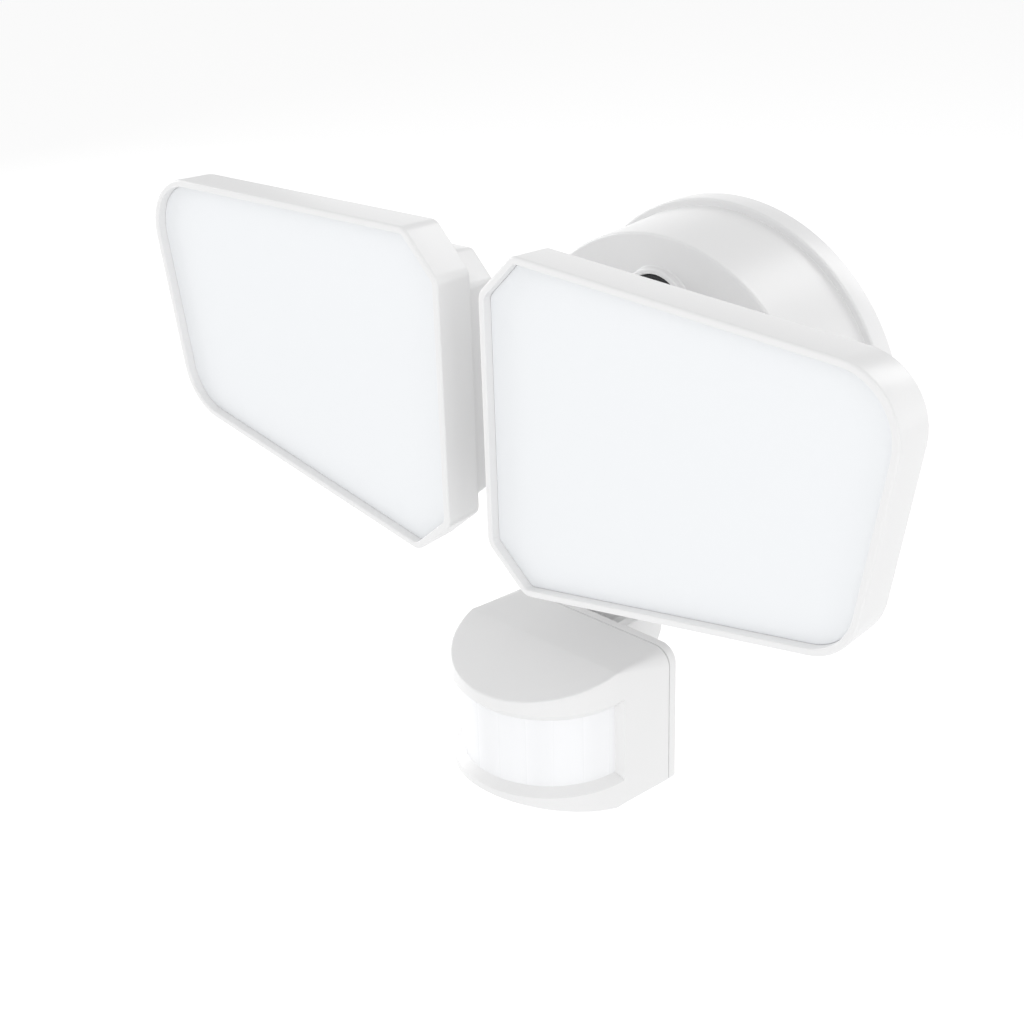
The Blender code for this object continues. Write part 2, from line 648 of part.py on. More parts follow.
def head(prefix, side, pivot, pan_x):
    front = HEAD_FRONT_Y
    back = front + HEAD_DEPTH
    rings = [
        at_y(inset_outline(side, 0.0), front),
        at_y(inset_outline(side, HEAD_DRAFT), back),
    ]
    frame = ride(keep(loft(prefix + "_head_frame", rings), WHITE), pivot)
    bevel(frame, 0.5 * MM, 1, 60)
    floor = back - HEAD_PANEL
    cut(frame, plate(prefix + "_recess", [inset_outline(side, LIP_WIDTH)], front - 2 * MM, floor))
    hub_z = CROSS_TUBE_Z
    cable_x = pan_x + side * 18 * MM
    cut(frame, cylinder(prefix + "_wire_hole", 4 * MM, 20 * MM, (cable_x, floor - 6 * MM, hub_z), (0, 1, 0), 14))

    def layer(name, inset, low, high, look, width=None):
        outlines = [inset_outline(side, inset)]
        if width:
            outlines.append(inset_outline(side, inset + width))
        return ride(keep(plate(f"{prefix}_{name}", outlines, low, high), look), pivot)

    fit = LIP_WIDTH + GAP
    diffuser_front = front + LIP_DEPTH
    seal_front = diffuser_front + DIFFUSER_THICKNESS + GAP
    reflector_front = seal_front + SEAL_THICKNESS + GAP
    board_front = floor - GAP - BOARD_THICKNESS
    layer("diffuser", fit, diffuser_front, diffuser_front + DIFFUSER_THICKNESS, DIFFUSER)
    layer("diffuser_seal", fit, seal_front, seal_front + SEAL_THICKNESS, RUBBER, SEAL_WIDTH)
    layer("reflector", fit, reflector_front, board_front - GAP, WHITE_PLASTIC, REFLECTOR_WIDTH)
    layer("led_board", fit + GAP, board_front, floor - GAP, WHITE_BOARD)

    rear_front = back + GAP
    rear_back = rear_front + REAR_DEPTH
    rings = [at_y(rear_outline(side, 0.0), rear_front), at_y(rear_outline(side, REAR_DRAFT), rear_back)]
    rear = ride(keep(loft(prefix + "_rear_housing", rings), WHITE), pivot)
    bevel(rear, 0.8 * MM, 1, 60)
    inside = rear_back - REAR_WALL
    rings = [
        at_y(rear_outline(side, REAR_WALL), rear_front - 4 * MM),
        at_y(rear_outline(side, REAR_WALL + REAR_DRAFT), inside),
    ]
    cut(rear, loft(prefix + "_rear_hollow", rings))
    ear_offset = EYE_HEIGHT / 2 + GAP
    for label, low in (("upper", hub_z + ear_offset), ("lower", hub_z - ear_offset - EAR_THICKNESS)):
        half = EYE_RADIUS - 0.5 * MM
        body = box(f"{prefix}_{label}_ear", (pan_x - half, inside + 1 * MM, low), (pan_x + half, PAN_Y, low + EAR_THICKNESS))
        fuse(rear, body)
        tip = cylinder(f"{prefix}_{label}_tip", EYE_RADIUS - 0.2 * MM, EAR_THICKNESS - 0.1 * MM, (pan_x, PAN_Y, low + 0.05 * MM), (0, 0, 1), 20)
        fuse(rear, tip)
    low = (pan_x, PAN_Y, hub_z - 20 * MM)
    cut(rear, cylinder(prefix + "_ear_bore", PIN_RADIUS + GAP, 40 * MM, low, (0, 0, 1), 14))

    ear_top = hub_z + ear_offset + EAR_THICKNESS
    length = 2 * (ear_offset + EAR_THICKNESS) + 2 * MM
    pin = screw(prefix + "_pan_pin", (pan_x, PAN_Y, ear_top + GAP), (0, 0, 1), length, STEEL, PIN_RADIUS, 4.4 * MM, 2.4 * MM)
    ride(pin, pivot)

    corners = head_corners({edge: value * MM + SCREW_INSET for edge, value in REAR_INSETS.items()})
    spots = [corners[1], corners[2], corners[3], corners[4]]
    for number, (u, v) in enumerate(spots, 1):
        x = side * (HEAD_SPLIT + u)
        z = HEAD_CENTRE_Z + v
        hole = (x, floor - 4 * MM, z)
        for target in (rear, frame):
            name = f"{target.name}_screw_hole_{number}"
            cut(target, cylinder(name, SCREW_RADIUS + GAP, 30 * MM, hole, (0, 1, 0), 10))
        made = screw(f"{prefix}_screw_{number}", (x, rear_back + GAP, z), (0, 1, 0), REAR_DEPTH + HEAD_PANEL)
        ride(made, pivot)


# Motion sensor


def half_height(y):
    """Half the sensor's height at y: rising to the crease, then falling to the round front."""
    if y > SENSOR_CREASE_Y:
        share = (y - SENSOR_CREASE_Y) / (SENSOR_SEAM_Y - SENSOR_CREASE_Y)
        return (SENSOR_CREASE_HEIGHT * (1 - share) + SENSOR_SEAM_HEIGHT * share) / 2
    return SENSOR_CREASE_HEIGHT / 2 - SENSOR_SLOPE * (SENSOR_CREASE_Y - y)


def half_width(y):
    """Half the sensor's width at y, behind its arc: widest at the seam."""
    share = max(0.0, (y - SENSOR_ARC_Y) / (SENSOR_SEAM_Y - SENSOR_ARC_Y))
    return (SENSOR_WIDTH * (1 - share) + SENSOR_SEAM_WIDTH * share) / 2


def section(half_x, half_z, top_radius, low_radius, steps=2):
    corners = [(-half_x, -half_z), (-half_x, half_z), (half_x, half_z), (half_x, -half_z)]
    radii = [min(radius, half_x * 0.9) for radius in (low_radius, top_radius, top_radius, low_radius)]
    return [(x, z + SENSOR_MID_Z) for x, z in rounded(corners, radii, steps)]


def sensor_rings(wall, back_y):
    """Sections of the sensor's body from its open back to its round front, a wall's thickness in."""
    radius = SENSOR_WIDTH / 2 - wall
    corner = max(SENSOR_CORNER_RADIUS - wall, 0.5 * MM)
    places = [(back_y, half_width(SENSOR_SEAM_Y) - wall, corner)]
    if back_y > SENSOR_SEAM_Y:
        places.append((SENSOR_SEAM_Y, half_width(SENSOR_SEAM_Y) - wall, corner))
    places.append((SENSOR_ARC_Y, radius, SENSOR_CREASE_RADIUS * 2))
    crease_turn = math.asin((SENSOR_ARC_Y - SENSOR_CREASE_Y) / radius)
    places.append((SENSOR_CREASE_Y, radius * math.cos(crease_turn), SENSOR_CREASE_RADIUS))
    steps = 10
    last = math.radians(87)
    for k in range(1, steps + 1):
        angle = crease_turn + (last - crease_turn) * k / steps
        places.append((SENSOR_ARC_Y - radius * math.sin(angle), radius * math.cos(angle), SENSOR_CREASE_RADIUS))
    rings = []
    for y, half, top in places:
        low = min(top, max(SENSOR_BOTTOM_RADIUS - wall, SENSOR_CREASE_RADIUS))
        high = half_height(min(y, SENSOR_SEAM_Y)) - wall
        rings.append(at_y(section(half, high, top, low), y))
    return rings


def sensor_front_shell(pivot):
    shell = ride(keep(loft("sensor_front_shell", sensor_rings(0.0, SENSOR_SEAM_Y)), WHITE_PLASTIC), pivot)
    cut(shell, loft("sensor_hollow", sensor_rings(SENSOR_WALL, SENSOR_SEAM_Y + 5 * MM)))
    reach = SENSOR_WIDTH
    low = (-reach, SENSOR_ARC_Y - reach, WINDOW_MID_Z - WINDOW_HEIGHT / 2)
    cut(shell, box("sensor_window", low, (reach, WINDOW_START_Y, WINDOW_MID_Z + WINDOW_HEIGHT / 2)))
    for side in (-1, 1):
        at = (side * DIAL_X, DIAL_Y, SENSOR_MID_Z - SENSOR_CREASE_HEIGHT / 2 - 3 * MM)
        cut(shell, cylinder(f"dial_hole_{side}", DIAL_RADIUS + GAP, 8 * MM, at, (0, 0, 1), 16))


def sensor_lens(pivot):
    """A curved band behind the window."""
    outer = SENSOR_WIDTH / 2 - SENSOR_WALL - GAP
    inner = outer - LENS_THICKNESS
    start = WINDOW_START_Y + LENS_OVERLAP
    steps = 20
    turns = [math.pi * k / steps for k in range(steps + 1)]
    outline = [(outer, start)] + [(outer * math.cos(a), SENSOR_ARC_Y - outer * math.sin(a)) for a in turns]
    outline += [(-outer, start), (-inner, start)]
    outline += [(-inner * math.cos(a), SENSOR_ARC_Y - inner * math.sin(a)) for a in turns]
    outline += [(inner, start)]
    high = WINDOW_HEIGHT / 2 + LENS_OVERLAP
    room = half_height(SENSOR_ARC_Y - outer) - SENSOR_WALL - GAP
    low_z = max(WINDOW_MID_Z - high, SENSOR_MID_Z - room)
    high_z = min(WINDOW_MID_Z + high, SENSOR_MID_Z + room)
    ride(keep(slab("sensor_lens", outline, low_z, high_z), LENS), pivot)


PLATE_FRONT = SENSOR_SEAM_Y + SENSOR_SEAM_GAP
PLATE_BACK = PLATE_FRONT + SENSOR_PLATE


def sensor_rear_shell(pivot):
    """The back plate, with posts for the board and two cheeks for the tilt pin."""
    half = SENSOR_SEAM_WIDTH / 2
    high = SENSOR_SEAM_HEIGHT / 2
    outline = section(half, high, SENSOR_CORNER_RADIUS, SENSOR_BOTTOM_RADIUS, 4)
    shell = ride(keep(plate("sensor_rear_shell", [outline], PLATE_FRONT, PLATE_BACK), WHITE_PLASTIC), pivot)
    bevel(shell, 0.4 * MM, 1, 60)
    for side in (-1, 1):
        at = (side * 14 * MM, PLATE_FRONT + 1 * MM, SENSOR_MID_Z + 4 * MM)
        post = cylinder(f"board_post_{side}", 2.6 * MM, PLATE_FRONT + 1 * MM - SENSOR_BOARD_Y - GAP, at, (0, -1, 0), 12)
        fuse(shell, post)
        inner = LUG_WIDTH / 2 + GAP
        low_x = min(side * inner, side * (inner + CHEEK_WIDTH))
        low = (low_x, PLATE_BACK - 1 * MM, TILT_Z - LUG_RADIUS)
        fuse(shell, box(f"cheek_{side}", low, (low_x + CHEEK_WIDTH, TILT_Y, TILT_Z + LUG_RADIUS)))
        tip = (low_x + 0.05 * MM, TILT_Y, TILT_Z)
        round_end = cylinder(f"cheek_end_{side}", LUG_RADIUS - 0.1 * MM, CHEEK_WIDTH - 0.1 * MM, tip, (1, 0, 0), 20)
        fuse(shell, round_end)
        hole = (side * 22 * MM, PLATE_BACK + 2 * MM, SENSOR_MID_Z - 12 * MM)
        cut(shell, cylinder(f"sensor_screw_hole_{side}", SCREW_RADIUS + GAP, 10 * MM, hole, (0, -1, 0), 10))
    outside = LUG_WIDTH / 2 + GAP + CHEEK_WIDTH
    blind = outside - PIN_SKIN
    bore = (-outside - 1 * MM, TILT_Y, TILT_Z)
    cut(shell, cylinder("cheek_bore", PIN_RADIUS + GAP, outside + 1 * MM + blind, bore, (1, 0, 0), 14))
    seat = (-outside - GAP, TILT_Y, TILT_Z)
    length = outside + blind
    pin = screw("sensor_tilt_pin", seat, (-1, 0, 0), length, STEEL, PIN_RADIUS, 4.2 * MM, 2.2 * MM)
    ride(pin, pivot)
    for number, side in enumerate((-1, 1), 1):
        at = (side * 22 * MM, PLATE_BACK + GAP, SENSOR_MID_Z - 12 * MM)
        ride(screw(f"sensor_screw_{number}", at, (0, 1, 0), SENSOR_PLATE + 6 * MM), pivot)


CONTROL_TOP = SENSOR_MID_Z - 13.2 * MM
CONTROL_LOW = CONTROL_TOP - BOARD_THICKNESS


def sensor_inside(pivot):
    y = SENSOR_BOARD_Y
    low = (-19 * MM, y - BOARD_THICKNESS, CONTROL_TOP + GAP)
    ride(keep(box("sensor_board", low, (19 * MM, y, SENSOR_MID_Z + 14 * MM)), BOARD), pivot)
    low = (-17 * MM, y - 3 * MM, CONTROL_LOW)
    ride(keep(box("control_board", low, (17 * MM, PLATE_FRONT - GAP, CONTROL_TOP)), BOARD), pivot)
    face = y - BOARD_THICKNESS - GAP
    profile = [
        (0, PIR_HEIGHT),
        (PIR_RADIUS - 0.8 * MM, PIR_HEIGHT),
        (PIR_RADIUS - 0.4 * MM, PIR_HEIGHT - 0.4 * MM),
        (PIR_RADIUS - 0.4 * MM, 0.8 * MM),
        (PIR_RADIUS, 0.7 * MM),
        (PIR_RADIUS, 0),
        (0, 0),
    ]
    element = keep(turned("pir_element", profile, (0, face, SENSOR_MID_Z), OUT, segments=16), STEEL)
    ride(element, pivot)
    cell = bevel(cylinder("photocell", 2.5 * MM, 2.0 * MM, (11 * MM, face, SENSOR_MID_Z - 6 * MM), OUT, 12), 0.3 * MM)
    ride(keep(cell, LENS), pivot)


def dial(name, x, parent):
    """An adjuster flush with the sensor's underside, turned with a screwdriver."""
    top = CONTROL_LOW - GAP
    pivot = pivot_at(name + "_pivot", (x, DIAL_Y, top), parent)
    knob = cylinder(name, DIAL_RADIUS, DIAL_HEIGHT, (x, DIAL_Y, top), (0, 0, -1), 14)
    ride(keep(bevel(knob, 0.3 * MM), WHITE_PLASTIC), pivot)
    bottom = top - DIAL_HEIGHT
    low = (x - 3.2 * MM, DIAL_Y - 0.5 * MM, bottom - 1 * MM)
    cut(knob, box(name + "_slot", low, (x + 3.2 * MM, DIAL_Y + 0.5 * MM, bottom + 1.2 * MM)))


def sensor_stem():
    """A stem through the lower collar, with an upright eye that the arm pans under."""
    start = (0, -FACE_INNER + NUT_THICKNESS + 2 * GAP, SENSOR_COLLAR_Z)
    stem = keep(cylinder("sensor_stem", STEM_RADIUS, start[1] - HUB_Y, start, OUT, 24), WHITE)
    bottom = SENSOR_COLLAR_Z - HUB_HEIGHT / 2
    lap_y = -CANOPY_DEPTH - COLLAR_HEIGHT - 2 * GAP
    reach = 2 * HUB_RADIUS
    for label, low_z, high_z in (
        ("under", bottom - reach, bottom + GAP),
        ("over", bottom + HUB_HEIGHT - GAP, bottom + HUB_HEIGHT + reach),
    ):
        cut(stem, box("stem_lap_" + label, (-reach, HUB_Y - reach, low_z), (reach, lap_y, high_z)))
    eye = bevel(cylinder("sensor_eye", HUB_RADIUS, HUB_HEIGHT, (0, HUB_Y, bottom), (0, 0, 1), 24), 1.0 * MM)
    fuse(stem, eye)
    low = (0, HUB_Y, bottom - 10 * MM)
    cut(stem, cylinder("sensor_eye_bore", PIN_RADIUS + RUNNING, 40 * MM, low, (0, 0, 1), 16))
    top = (0, HUB_Y, bottom + HUB_HEIGHT + GAP)
    screw("sensor_pan_pin", top, (0, 0, 1), HUB_HEIGHT + DISC_HEIGHT, STEEL, PIN_RADIUS, 4.4 * MM, 2.4 * MM)


def sensor_arm(pivot):
    """A disc under the eye, a neck down from it and a lug for the tilt pin."""
    top = SENSOR_COLLAR_Z - HUB_HEIGHT / 2 - GAP
    arm = cylinder("sensor_arm", HUB_RADIUS, DISC_HEIGHT, (0, HUB_Y, top), (0, 0, -1), 24)
    bevel(ride(keep(arm, WHITE), pivot), 1.0 * MM)
    start = Vector((0, HUB_Y, top - DISC_HEIGHT / 2))
    end = Vector((0, TILT_Y, TILT_Z))
    down = (end - start).normalized()
    fuse(arm, cylinder("sensor_neck", NECK_RADIUS, (end - start).length, start, down, 20, LUG_NECK_RADIUS))
    low = end - Vector((LUG_WIDTH / 2, 0, 0))
    fuse(arm, cylinder("sensor_lug", LUG_RADIUS - 0.4 * MM, LUG_WIDTH, low, (1, 0, 0), 20))
    bore = end - Vector((20 * MM, 0, 0))
    cut(arm, cylinder("lug_bore", PIN_RADIUS + RUNNING, 40 * MM, bore, (1, 0, 0), 16))
    pan_bore = (0, HUB_Y, top + 5 * MM)
    depth = 5 * MM + DISC_HEIGHT + 2 * GAP
    cut(arm, cylinder("pan_bore", PIN_RADIUS + RUNNING, depth, pan_bore, (0, 0, -1), 16))


def build():
    canopy()
    wall_gasket()
    crossbar()
    mounting_bolt()
    hex_nut("lamp_arm_nut", LAMP_COLLAR_Z)
    stem_seal("lamp_arm_seal", LAMP_COLLAR_Z)
    hex_nut("sensor_stem_nut", SENSOR_COLLAR_Z)
    stem_seal("sensor_stem_seal", SENSOR_COLLAR_Z)
    electronics()
    lamp_arm()
    for prefix, side in (("left", -1), ("right", 1)):
        tilt = pivot_at(prefix + "_tilt_pivot", (side * CROSS_TUBE_HALF, CROSS_TUBE_Y, CROSS_TUBE_Z))
        pan_x = knuckle(prefix, side, tilt)
        tilt_bolt(prefix, side)
        pan = pivot_at(prefix + "_pan_pivot", (pan_x, PAN_Y, CROSS_TUBE_Z), tilt)
        head(prefix, side, pan, pan_x)
    sensor_stem()
    pan = pivot_at("sensor_pan_pivot", (0, HUB_Y, SENSOR_COLLAR_Z))
    sensor_arm(pan)
    tilt = pivot_at("sensor_tilt_pivot", (0, TILT_Y, TILT_Z), pan)
    sensor_front_shell(tilt)
    sensor_lens(tilt)
    sensor_rear_shell(tilt)
    sensor_inside(tilt)
    dial("time_dial", -DIAL_X, tilt)
    dial("range_dial", DIAL_X, tilt)


build()
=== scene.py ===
import json
import math

import bmesh
import bpy
import numpy as np
from mathutils import Matrix, Vector


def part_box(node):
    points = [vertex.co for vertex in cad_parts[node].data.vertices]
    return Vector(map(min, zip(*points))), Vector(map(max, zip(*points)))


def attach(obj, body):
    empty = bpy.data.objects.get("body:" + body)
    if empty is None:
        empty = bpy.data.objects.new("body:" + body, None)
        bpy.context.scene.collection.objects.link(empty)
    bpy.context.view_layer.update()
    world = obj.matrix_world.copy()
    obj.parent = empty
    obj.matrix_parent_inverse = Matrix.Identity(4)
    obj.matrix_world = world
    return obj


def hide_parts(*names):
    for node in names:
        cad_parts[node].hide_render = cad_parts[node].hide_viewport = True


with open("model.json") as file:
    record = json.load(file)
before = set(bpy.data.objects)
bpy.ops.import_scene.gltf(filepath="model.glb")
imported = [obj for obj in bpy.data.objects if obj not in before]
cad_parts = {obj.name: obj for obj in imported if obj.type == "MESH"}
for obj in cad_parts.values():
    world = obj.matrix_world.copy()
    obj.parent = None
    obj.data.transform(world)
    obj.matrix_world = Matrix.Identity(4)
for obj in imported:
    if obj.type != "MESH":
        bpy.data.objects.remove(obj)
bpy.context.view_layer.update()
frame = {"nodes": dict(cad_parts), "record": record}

mm = 0.001


def roundedLine(points, radii, steps=6):
    # Each corner gives way to an arc:
    # centre + (start * sin((1 - t) * turn) + end * sin(t * turn)) / sin(turn).
    points = np.asarray(points, float)
    line = []
    for i, radius in enumerate(radii):
        here = points[i]
        if radius <= 0:
            line.append(here[None])
            continue
        before = points[i - 1] - here
        after = points[(i + 1) % len(points)] - here
        before /= np.linalg.norm(before)
        after /= np.linalg.norm(after)
        turn = math.pi - math.acos(np.clip(before @ after, -1, 1))
        reach = radius * math.tan(turn / 2)
        middle = (before + after) / np.linalg.norm(before + after)
        centre = here + middle * radius / math.cos(turn / 2)
        start = here + before * reach - centre
        end = here + after * reach - centre
        t = np.linspace(0, 1, steps + 1)[:, None]
        line.append(
            centre + (np.sin((1 - t) * turn) * start + np.sin(t * turn) * end) / math.sin(turn)
        )
    return np.concatenate(line)


def closedLine(line):
    # The first point again at the end.
    return np.concatenate([line, line[:1]])


def turned(profile, at, axis, steps=96, waves=None):
    # A profile carried round an axis: at + axis * height + radius * (across * cos + side * sin).
    # Where waves is given, it sets the radius at each angle.
    profile = np.asarray(profile, float)
    axis = np.asarray(axis, float) / np.linalg.norm(axis)
    across = np.cross((0, 0, 1) if abs(axis[2]) < 0.9 else (1, 0, 0), axis)
    across /= np.linalg.norm(across)
    side = np.cross(axis, across)
    angle = np.linspace(0, 2 * math.pi, steps, endpoint=False)
    spoke = np.cos(angle)[:, None] * across + np.sin(angle)[:, None] * side
    radius = profile[:, 0, None] * np.ones(steps)
    if waves is not None:
        radius = waves(profile[:, 0, None], angle)
    return np.asarray(at) + profile[:, 1, None, None] * axis + radius[:, :, None] * spoke


def bar(path, radius, steps=48):
    # A round bar along a path in the middle plane: point + radius * (x * cos + normal * sin),
    # closed at its ends.
    path = np.asarray(path, float)
    points = np.stack([np.zeros(len(path)), path[:, 0], path[:, 1]], 1)
    along = np.gradient(points, axis=0)
    along /= np.linalg.norm(along, axis=1)[:, None]
    normal = np.cross(along, (1, 0, 0))
    angle = np.linspace(0, 2 * math.pi, steps, endpoint=False)
    rings = points[:, None] + radius * (
        np.cos(angle)[None, :, None] * np.array((1, 0, 0)) + np.sin(angle)[None, :, None] * normal[:, None]
    )
    return capped(rings)


def capped(rings):
    # Both ends drawn in to their middle point.
    first = np.repeat(rings[:1].mean(1, keepdims=True), rings.shape[1], 1)
    last = np.repeat(rings[-1:].mean(1, keepdims=True), rings.shape[1], 1)
    return np.concatenate([first, rings, last])


def slab(outline, low, high, edge, place, steps=4):
    # A flat plate with rounded edges: its outline is drawn in by edge * (1 - sin a)
    # at the depth edge * (1 - cos a).
    a = np.linspace(0, math.pi / 2, steps + 1)
    inset = np.concatenate([edge * (1 - np.sin(a)), edge * (1 - np.cos(a))])
    depth = np.concatenate([low + edge * (1 - np.cos(a)), high - edge * (1 - np.sin(a))])
    rings = [place(outline(i), np.full(len(outline(i)), d)) for i, d in zip(inset, depth)]
    return capped(np.array(rings))


def surface(name, grids):
    # Rows of points are loops; neighbours share a four-sided face. Poles and seams are merged,
    # faces turned outwards.
    points, faces, start = [], [], 0
    for grid in grids:
        rows, columns = grid.shape[:2]
        index = start + np.arange(rows * columns).reshape(rows, columns)
        index = np.concatenate([index, index[:, :1]], 1)
        quads = np.stack([index[:-1, :-1], index[:-1, 1:], index[1:, 1:], index[1:, :-1]], -1)
        points.append(grid.reshape(-1, 3))
        faces.append(quads.reshape(-1, 4))
        start += rows * columns
    mesh = bpy.data.meshes.new(name)
    mesh.from_pydata(np.concatenate(points).tolist(), [], np.concatenate(faces).tolist())
    work = bmesh.new()
    work.from_mesh(mesh)
    bmesh.ops.remove_doubles(work, verts=work.verts, dist=2e-6)
    bmesh.ops.dissolve_degenerate(work, edges=work.edges, dist=1e-6)
    bmesh.ops.recalc_face_normals(work, faces=work.faces)
    work.to_mesh(mesh)
    work.free()
    return bpy.data.objects.new(name, mesh)


def placed(obj, body, material, nodes, sharp=35):
    # Shades a finished piece, gives it its finish and hangs it on its CAD body in place of CAD
    # nodes.
    bpy.context.scene.collection.objects.link(obj)
    obj.data.materials.append(material)
    obj.data.shade_smooth()
    obj.data.set_sharp_from_angle(angle=math.radians(sharp))
    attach(obj, body)
    if nodes:
        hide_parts(*nodes)
    return obj


class Link:
    # A shader socket that is added, multiplied and so on like a number.
    def __init__(self, finish, socket):
        self.finish, self.socket = finish, socket

    def join(self, operation, first, second):
        return self.finish.add("ShaderNodeMath", {"operation": operation}, {0: first, 1: second})

    def __add__(self, other): return self.join("ADD", self, other)
    def __radd__(self, other): return self.join("ADD", other, self)
    def __sub__(self, other): return self.join("SUBTRACT", self, other)
    def __rsub__(self, other): return self.join("SUBTRACT", other, self)
    def __mul__(self, other): return self.join("MULTIPLY", self, other)
    def __rmul__(self, other): return self.join("MULTIPLY", other, self)
    def __truediv__(self, other): return self.join("DIVIDE", self, other)
    def __pow__(self, other): return self.join("POWER", self, other)
    def __gt__(self, other): return self.join("GREATER_THAN", self, other)


class Finish:
    # A material whose nodes are made one call at a time.
    def __init__(self, name):
        self.material = bpy.data.materials.new(name)
        self.material.use_nodes = True
        self.tree = self.material.node_tree
        self.shader = self.tree.nodes["Principled BSDF"]
        self.place = self.add("ShaderNodeTexCoord", output="Object")

    def add(self, kind, settings=None, inputs=None, output=0):
        node = self.tree.nodes.new(kind)
        for key, value in (settings or {}).items():
            setattr(node, key, value)
        for key, value in (inputs or {}).items():
            if isinstance(value, Link):
                self.tree.links.new(value.socket, node.inputs[key])
            else:
                node.inputs[key].default_value = value
        return Link(self, node.outputs[output])

    def noise(self, scale, detail=2.0, stretch=(1, 1, 1)):
        vector = self.place
        if stretch != (1, 1, 1):
            vector = self.add("ShaderNodeMapping", inputs={"Vector": vector, "Scale": stretch})
        return self.add(
            "ShaderNodeTexNoise", inputs={"Vector": vector, "Scale": scale, "Detail": detail}
        )

    def blend(self, share, first, second):
        # first * (1 - share) + second * share, on colours
        colours = {"Factor": share, 6: (*first, 1) if isinstance(first, tuple) else first}
        colours[7] = (*second, 1) if isinstance(second, tuple) else second
        return self.add("ShaderNodeMix", {"data_type": "RGBA"}, colours, 2)

    def bump(self, height, depth, strength=1.0):
        return self.add(
            "ShaderNodeBump", inputs={"Height": height, "Distance": depth, "Strength": strength}
        )

    def finish(self, **sockets):
        for key, value in sockets.items():
            socket = self.shader.inputs[key.replace("_", " ")]
            if isinstance(value, Link):
                self.tree.links.new(value.socket, socket)
            else:
                socket.default_value = (*value, 1) if isinstance(value, tuple) and len(value) == 3 else value
        return self.material


def shaded(colour, share):
    # colour * share
    return tuple(c * share for c in colour)


enamelLook = {
    "colour": (0.76, 0.76, 0.762),
    "roughness": 0.26,
    "peel": 900.0,  # orange peel of the powder coat, per metre
    "peelDepth": 0.012 * mm,
}


def enamel(name, look):
    # Powder coat: fine orange peel, a slow drift in tone, and a little dust in the roughness.
    made = Finish(name)
    drift = made.noise(14.0, 3.0)
    peel = made.noise(look["peel"], 2.0)
    grain = made.noise(look["peel"] * 4.2, 1.0)
    tone = made.blend(drift, look["colour"], shaded(look["colour"], 0.965))
    return made.finish(
        Base_Color=tone,
        Roughness=look["roughness"] + drift * 0.06 + grain * 0.04,
        Normal=made.bump(peel + grain * 0.3, look["peelDepth"]),
    )


plasticLook = {
    "colour": (0.76, 0.76, 0.761),
    "roughness": 0.34,
    "grain": 2600.0,
    "grainDepth": 0.006 * mm,
}


def mouldedPlastic(name, look):
    # Moulded plastic: a spark-eroded grain, faint flow marks along the height.
    made = Finish(name)
    flow = made.noise(22.0, 2.0, (1, 1, 0.35))
    grain = made.noise(look["grain"], 2.0)
    return made.finish(
        Base_Color=made.blend(flow, look["colour"], shaded(look["colour"], 0.97)),
        Roughness=look["roughness"] + flow * 0.05 + grain * 0.05,
        Normal=made.bump(grain, look["grainDepth"]),
    )


diffuserLook = {
    "colour": (0.785, 0.800, 0.816),
    "roughness": 0.55,
    "prisms": 1500.0,
}


def milkyPanel(name, look):
    # Milky sheet: a very fine prism grain in two directions and a soft cloud in the milk.
    made = Finish(name)
    cloud = made.noise(9.0, 1.0)
    waves = {"Vector": made.place, "Scale": look["prisms"] / 6.28}
    across, upward = (
        made.add("ShaderNodeTexWave", {"bands_direction": way}, waves) for way in "XZ"
    )
    return made.finish(
        Base_Color=made.blend(cloud, look["colour"], shaded(look["colour"], 0.99)),
        Roughness=look["roughness"] + cloud * 0.04,
        Normal=made.bump(across * upward, 0.002 * mm, 0.6),
    )


windowLook = {
    "colour": (0.826, 0.832, 0.845),
    "roughness": 0.22,
    "facets": 5,  # broad lens segments round the window, each also a painted shade band
    "grooves": 900.0,
}


def sensorWindow(name, look, centreY, middleZ):
    # Thin polyethylene: upright ridges ((1 + cos(2 * facets * angle)) / 2) ** 2,
    # over fine rows sin(2 * grooves * height). The ridges and an upright streak noise also
    # darken the colour a little: painted shade and reflection bands.
    made = Finish(name)
    split = made.add("ShaderNodeSeparateXYZ", inputs={0: made.place}, output=0)
    parts = split.socket.node.outputs
    x, y, z = (Link(made, parts[i]) for i in range(3))
    angle = made.add("ShaderNodeMath", {"operation": "ARCTAN2"}, {0: x, 1: centreY - y})
    wave = made.add("ShaderNodeMath", {"operation": "COSINE"}, {0: angle * (2.0 * look["facets"])})
    ridgeAndPaintedBand = (wave * 0.5 + 0.5) ** 2.0
    rows = made.add(
        "ShaderNodeMath", {"operation": "SINE"}, {0: (z - middleZ) * (look["grooves"] * 2.0)}
    )
    hazeAndPaintedStreak = made.noise(120.0, 2.0, (1, 1, 0.1))
    # Painted shade and reflection bands: the ridges and the upright streaks darken the colour by up to 3.5%.
    tone = made.blend(ridgeAndPaintedBand * 0.5 + hazeAndPaintedStreak * 0.2, look["colour"], shaded(look["colour"], 0.95))
    return made.finish(
        Base_Color=tone,
        Roughness=look["roughness"] + ridgeAndPaintedBand * 0.1 + hazeAndPaintedStreak * 0.05,
        Normal=made.bump(ridgeAndPaintedBand + rows * 0.01, 0.008 * mm, 0.3),
    )


def rubber(name, colour):
    # Moulded rubber: a dull grain with paler rubbed spots.
    made = Finish(name)
    rub = made.noise(60.0, 3.0)
    grain = made.noise(1800.0, 2.0)
    return made.finish(
        Base_Color=made.blend(rub, colour, tuple(min(1.0, c * 1.35 + 0.01) for c in colour)),
        Roughness=0.72 + rub * 0.12,
        Specular_IOR_Level=0.3,
        Normal=made.bump(grain, 0.02 * mm),
    )


def platedSteel(name, colour, stretch=(1, 1, 1)):
    # Zinc plate: cloudy spangle, with fine drawn lines across it.
    made = Finish(name)
    spangle = made.noise(260.0, 4.0)
    lines = made.noise(900.0, 2.0, stretch)
    return made.finish(
        Base_Color=made.blend(spangle, colour, shaded(colour, 0.82)),
        Metallic=1.0,
        Roughness=0.26 + spangle * 0.16 + lines * 0.06,
        Normal=made.bump(lines, 0.008 * mm),
    )


